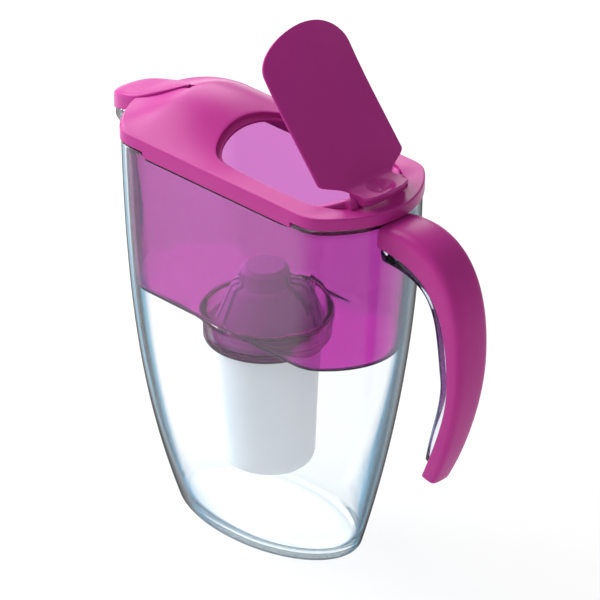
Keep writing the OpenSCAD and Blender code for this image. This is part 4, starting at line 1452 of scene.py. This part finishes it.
@dataclass
class Studio:
    """A pale floor, plain soft lamps and the camera."""

    distance: float = 2600.0
    azimuth: float = 45.84
    elevation: float = 29.4
    roll: float = -0.55
    aim: tuple[float, float, float] = (0.06, 0.06, 144.37)
    shift: tuple[float, float] = (18.41, 2.36)
    lens: float = 266.8
    mirrored: float = 0.16
    ambient: float = 0.42
    floor_glow: float = 0.82
    floor_half: float = 6.0

    def camera(self) -> None:
        """Places the camera at the photograph's angle."""
        az, el, roll = (math.radians(v) for v in (self.azimuth, self.elevation, self.roll))
        back = Vector((math.sin(az) * math.cos(el), -math.cos(az) * math.cos(el), math.sin(el)))
        right = Vector((math.cos(az), math.sin(az), 0.0))
        up = back.cross(right)
        right, up = right * math.cos(roll) + up * math.sin(roll), up * math.cos(roll) - right * math.sin(roll)
        eye = (Vector(self.aim) + back * self.distance) * MM
        target = (Vector(self.aim) + right * self.shift[0] + up * self.shift[1]) * MM
        toward = (target - eye).normalized()
        side = toward.cross(up).normalized()
        rise = side.cross(toward)
        data = bpy.data.cameras.new("camera")
        data.lens, data.sensor_width, data.sensor_fit = self.lens, 36.0, "HORIZONTAL"
        data.clip_start, data.clip_end = 0.1, 60.0
        camera = bpy.data.objects.new("camera", data)
        bpy.context.collection.objects.link(camera)
        turn = Matrix((side, rise, -toward)).transposed().to_4x4()
        camera.matrix_world = Matrix.Translation(eye) @ turn
        bpy.context.scene.camera = camera

    def lamp(self, name: str, place: tuple[float, float, float], size: float, power: float) -> None:
        """Adds a square soft lamp that faces the pitcher.

        Args:
            name: The lamp's name.
            place: Where it hangs, in metres.
            size: Its side, in metres.
            power: Its power, in watts.
        """
        data = bpy.data.lights.new(name, "AREA")
        data.shape, data.size, data.energy = "SQUARE", size, power
        lamp = bpy.data.objects.new(name, data)
        bpy.context.collection.objects.link(lamp)
        lamp.location = place
        lamp.rotation_euler = (Vector((0.0, 0.0, 0.14)) - Vector(place)).to_track_quat("-Z", "Y").to_euler()

    def seen_white(self, tree: bpy.types.NodeTree) -> bpy.types.NodeSocket:
        """A share that is 1 for rays that show the backdrop itself, and less for mirrored ones.

        Args:
            tree: The tree that it goes into.

        Returns:
            The share's socket.
        """
        path = add(tree, "ShaderNodeLightPath")
        glossy = add(tree, "ShaderNodeMath", {0: path.outputs["Is Glossy Ray"], 1: self.mirrored},
                     operation="MULTIPLY")
        first = add(tree, "ShaderNodeMath", {0: path.outputs["Is Camera Ray"], 1: glossy.outputs[0]},
                    operation="MAXIMUM")
        return add(tree, "ShaderNodeMath", {0: first.outputs[0], 1: path.outputs["Is Transmission Ray"]},
                   operation="MAXIMUM").outputs[0]

    def sky(self) -> None:
        """Lights the world plainly, white where it is seen."""
        world = bpy.data.worlds.new("soft_room")
        world.use_nodes = True
        bpy.context.scene.world = world
        tree = world.node_tree
        tree.nodes.clear()
        plain = add(tree, "ShaderNodeBackground", {"Color": linear("#FFFFFF"), "Strength": self.ambient})
        white = add(tree, "ShaderNodeBackground", {"Color": linear("#FFFFFF"), "Strength": 1.0})
        both = add(tree, "ShaderNodeMixShader", {0: self.seen_white(tree), 1: plain.outputs[0],
                                                 2: white.outputs[0]})
        add(tree, "ShaderNodeOutputWorld", {"Surface": both.outputs[0]})

    def floor(self) -> None:
        """Lays the pale floor that takes the pitcher's shadow."""
        size = self.floor_half
        mesh = bpy.data.meshes.new("floor")
        mesh.from_pydata([(-size, -size, 0), (size, -size, 0), (size, size, 0), (-size, size, 0)], [], [(0, 1, 2, 3)])
        floor = bpy.data.objects.new("floor", mesh)
        bpy.context.collection.objects.link(floor)
        made, tree, out = blank("white_paper_sweep")
        place = add(tree, "ShaderNodeTexCoord").outputs["Object"]
        fibre = add(tree, "ShaderNodeTexNoise", {"Vector": place, "Scale": 900.0, "Detail": 2.0})
        paper = add(tree, "ShaderNodeMix", {"Factor": fibre.outputs["Fac"], "A": linear("#F8F8F8"),
                                            "B": linear("#F4F4F5")}, data_type="RGBA")
        matt = add(tree, "ShaderNodeBsdfDiffuse", {"Color": paper.outputs[2]})
        glow = add(tree, "ShaderNodeEmission", {"Color": linear("#FFFFFF"), "Strength": 1.0})
        part = add(tree, "ShaderNodeMath", {0: self.seen_white(tree), 1: self.floor_glow}, operation="MULTIPLY")
        both = add(tree, "ShaderNodeMixShader", {0: part.outputs[0], 1: matt.outputs[0], 2: glow.outputs[0]})
        tree.links.new(both.outputs[0], out.inputs["Surface"])
        mesh.materials.append(made)

    def build(self) -> None:
        """Sets up the whole stage."""
        self.camera()
        self.sky()
        self.floor()
        self.lamp("key", (-1.72, -0.42, 1.5), 1.8, 86.0)
        self.lamp("rim", (-1.35, 1.15, 1.15), 1.1, 16.0)
        self.lamp("fill", (1.0, -1.7, 1.0), 1.4, 2.5)
        scene = bpy.context.scene
        scene.view_settings.view_transform = "Standard"
        scene.cycles.max_bounces = 28
        scene.cycles.transmission_bounces = 28
        scene.cycles.transparent_max_bounces = 24


def main() -> None:
    """Builds the stage and the pitcher."""
    logging.basicConfig(level=logging.INFO, format="%(name)s %(message)s")
    Studio().build()
    Pitcher().build()


if __name__ == "__main__":
    main()
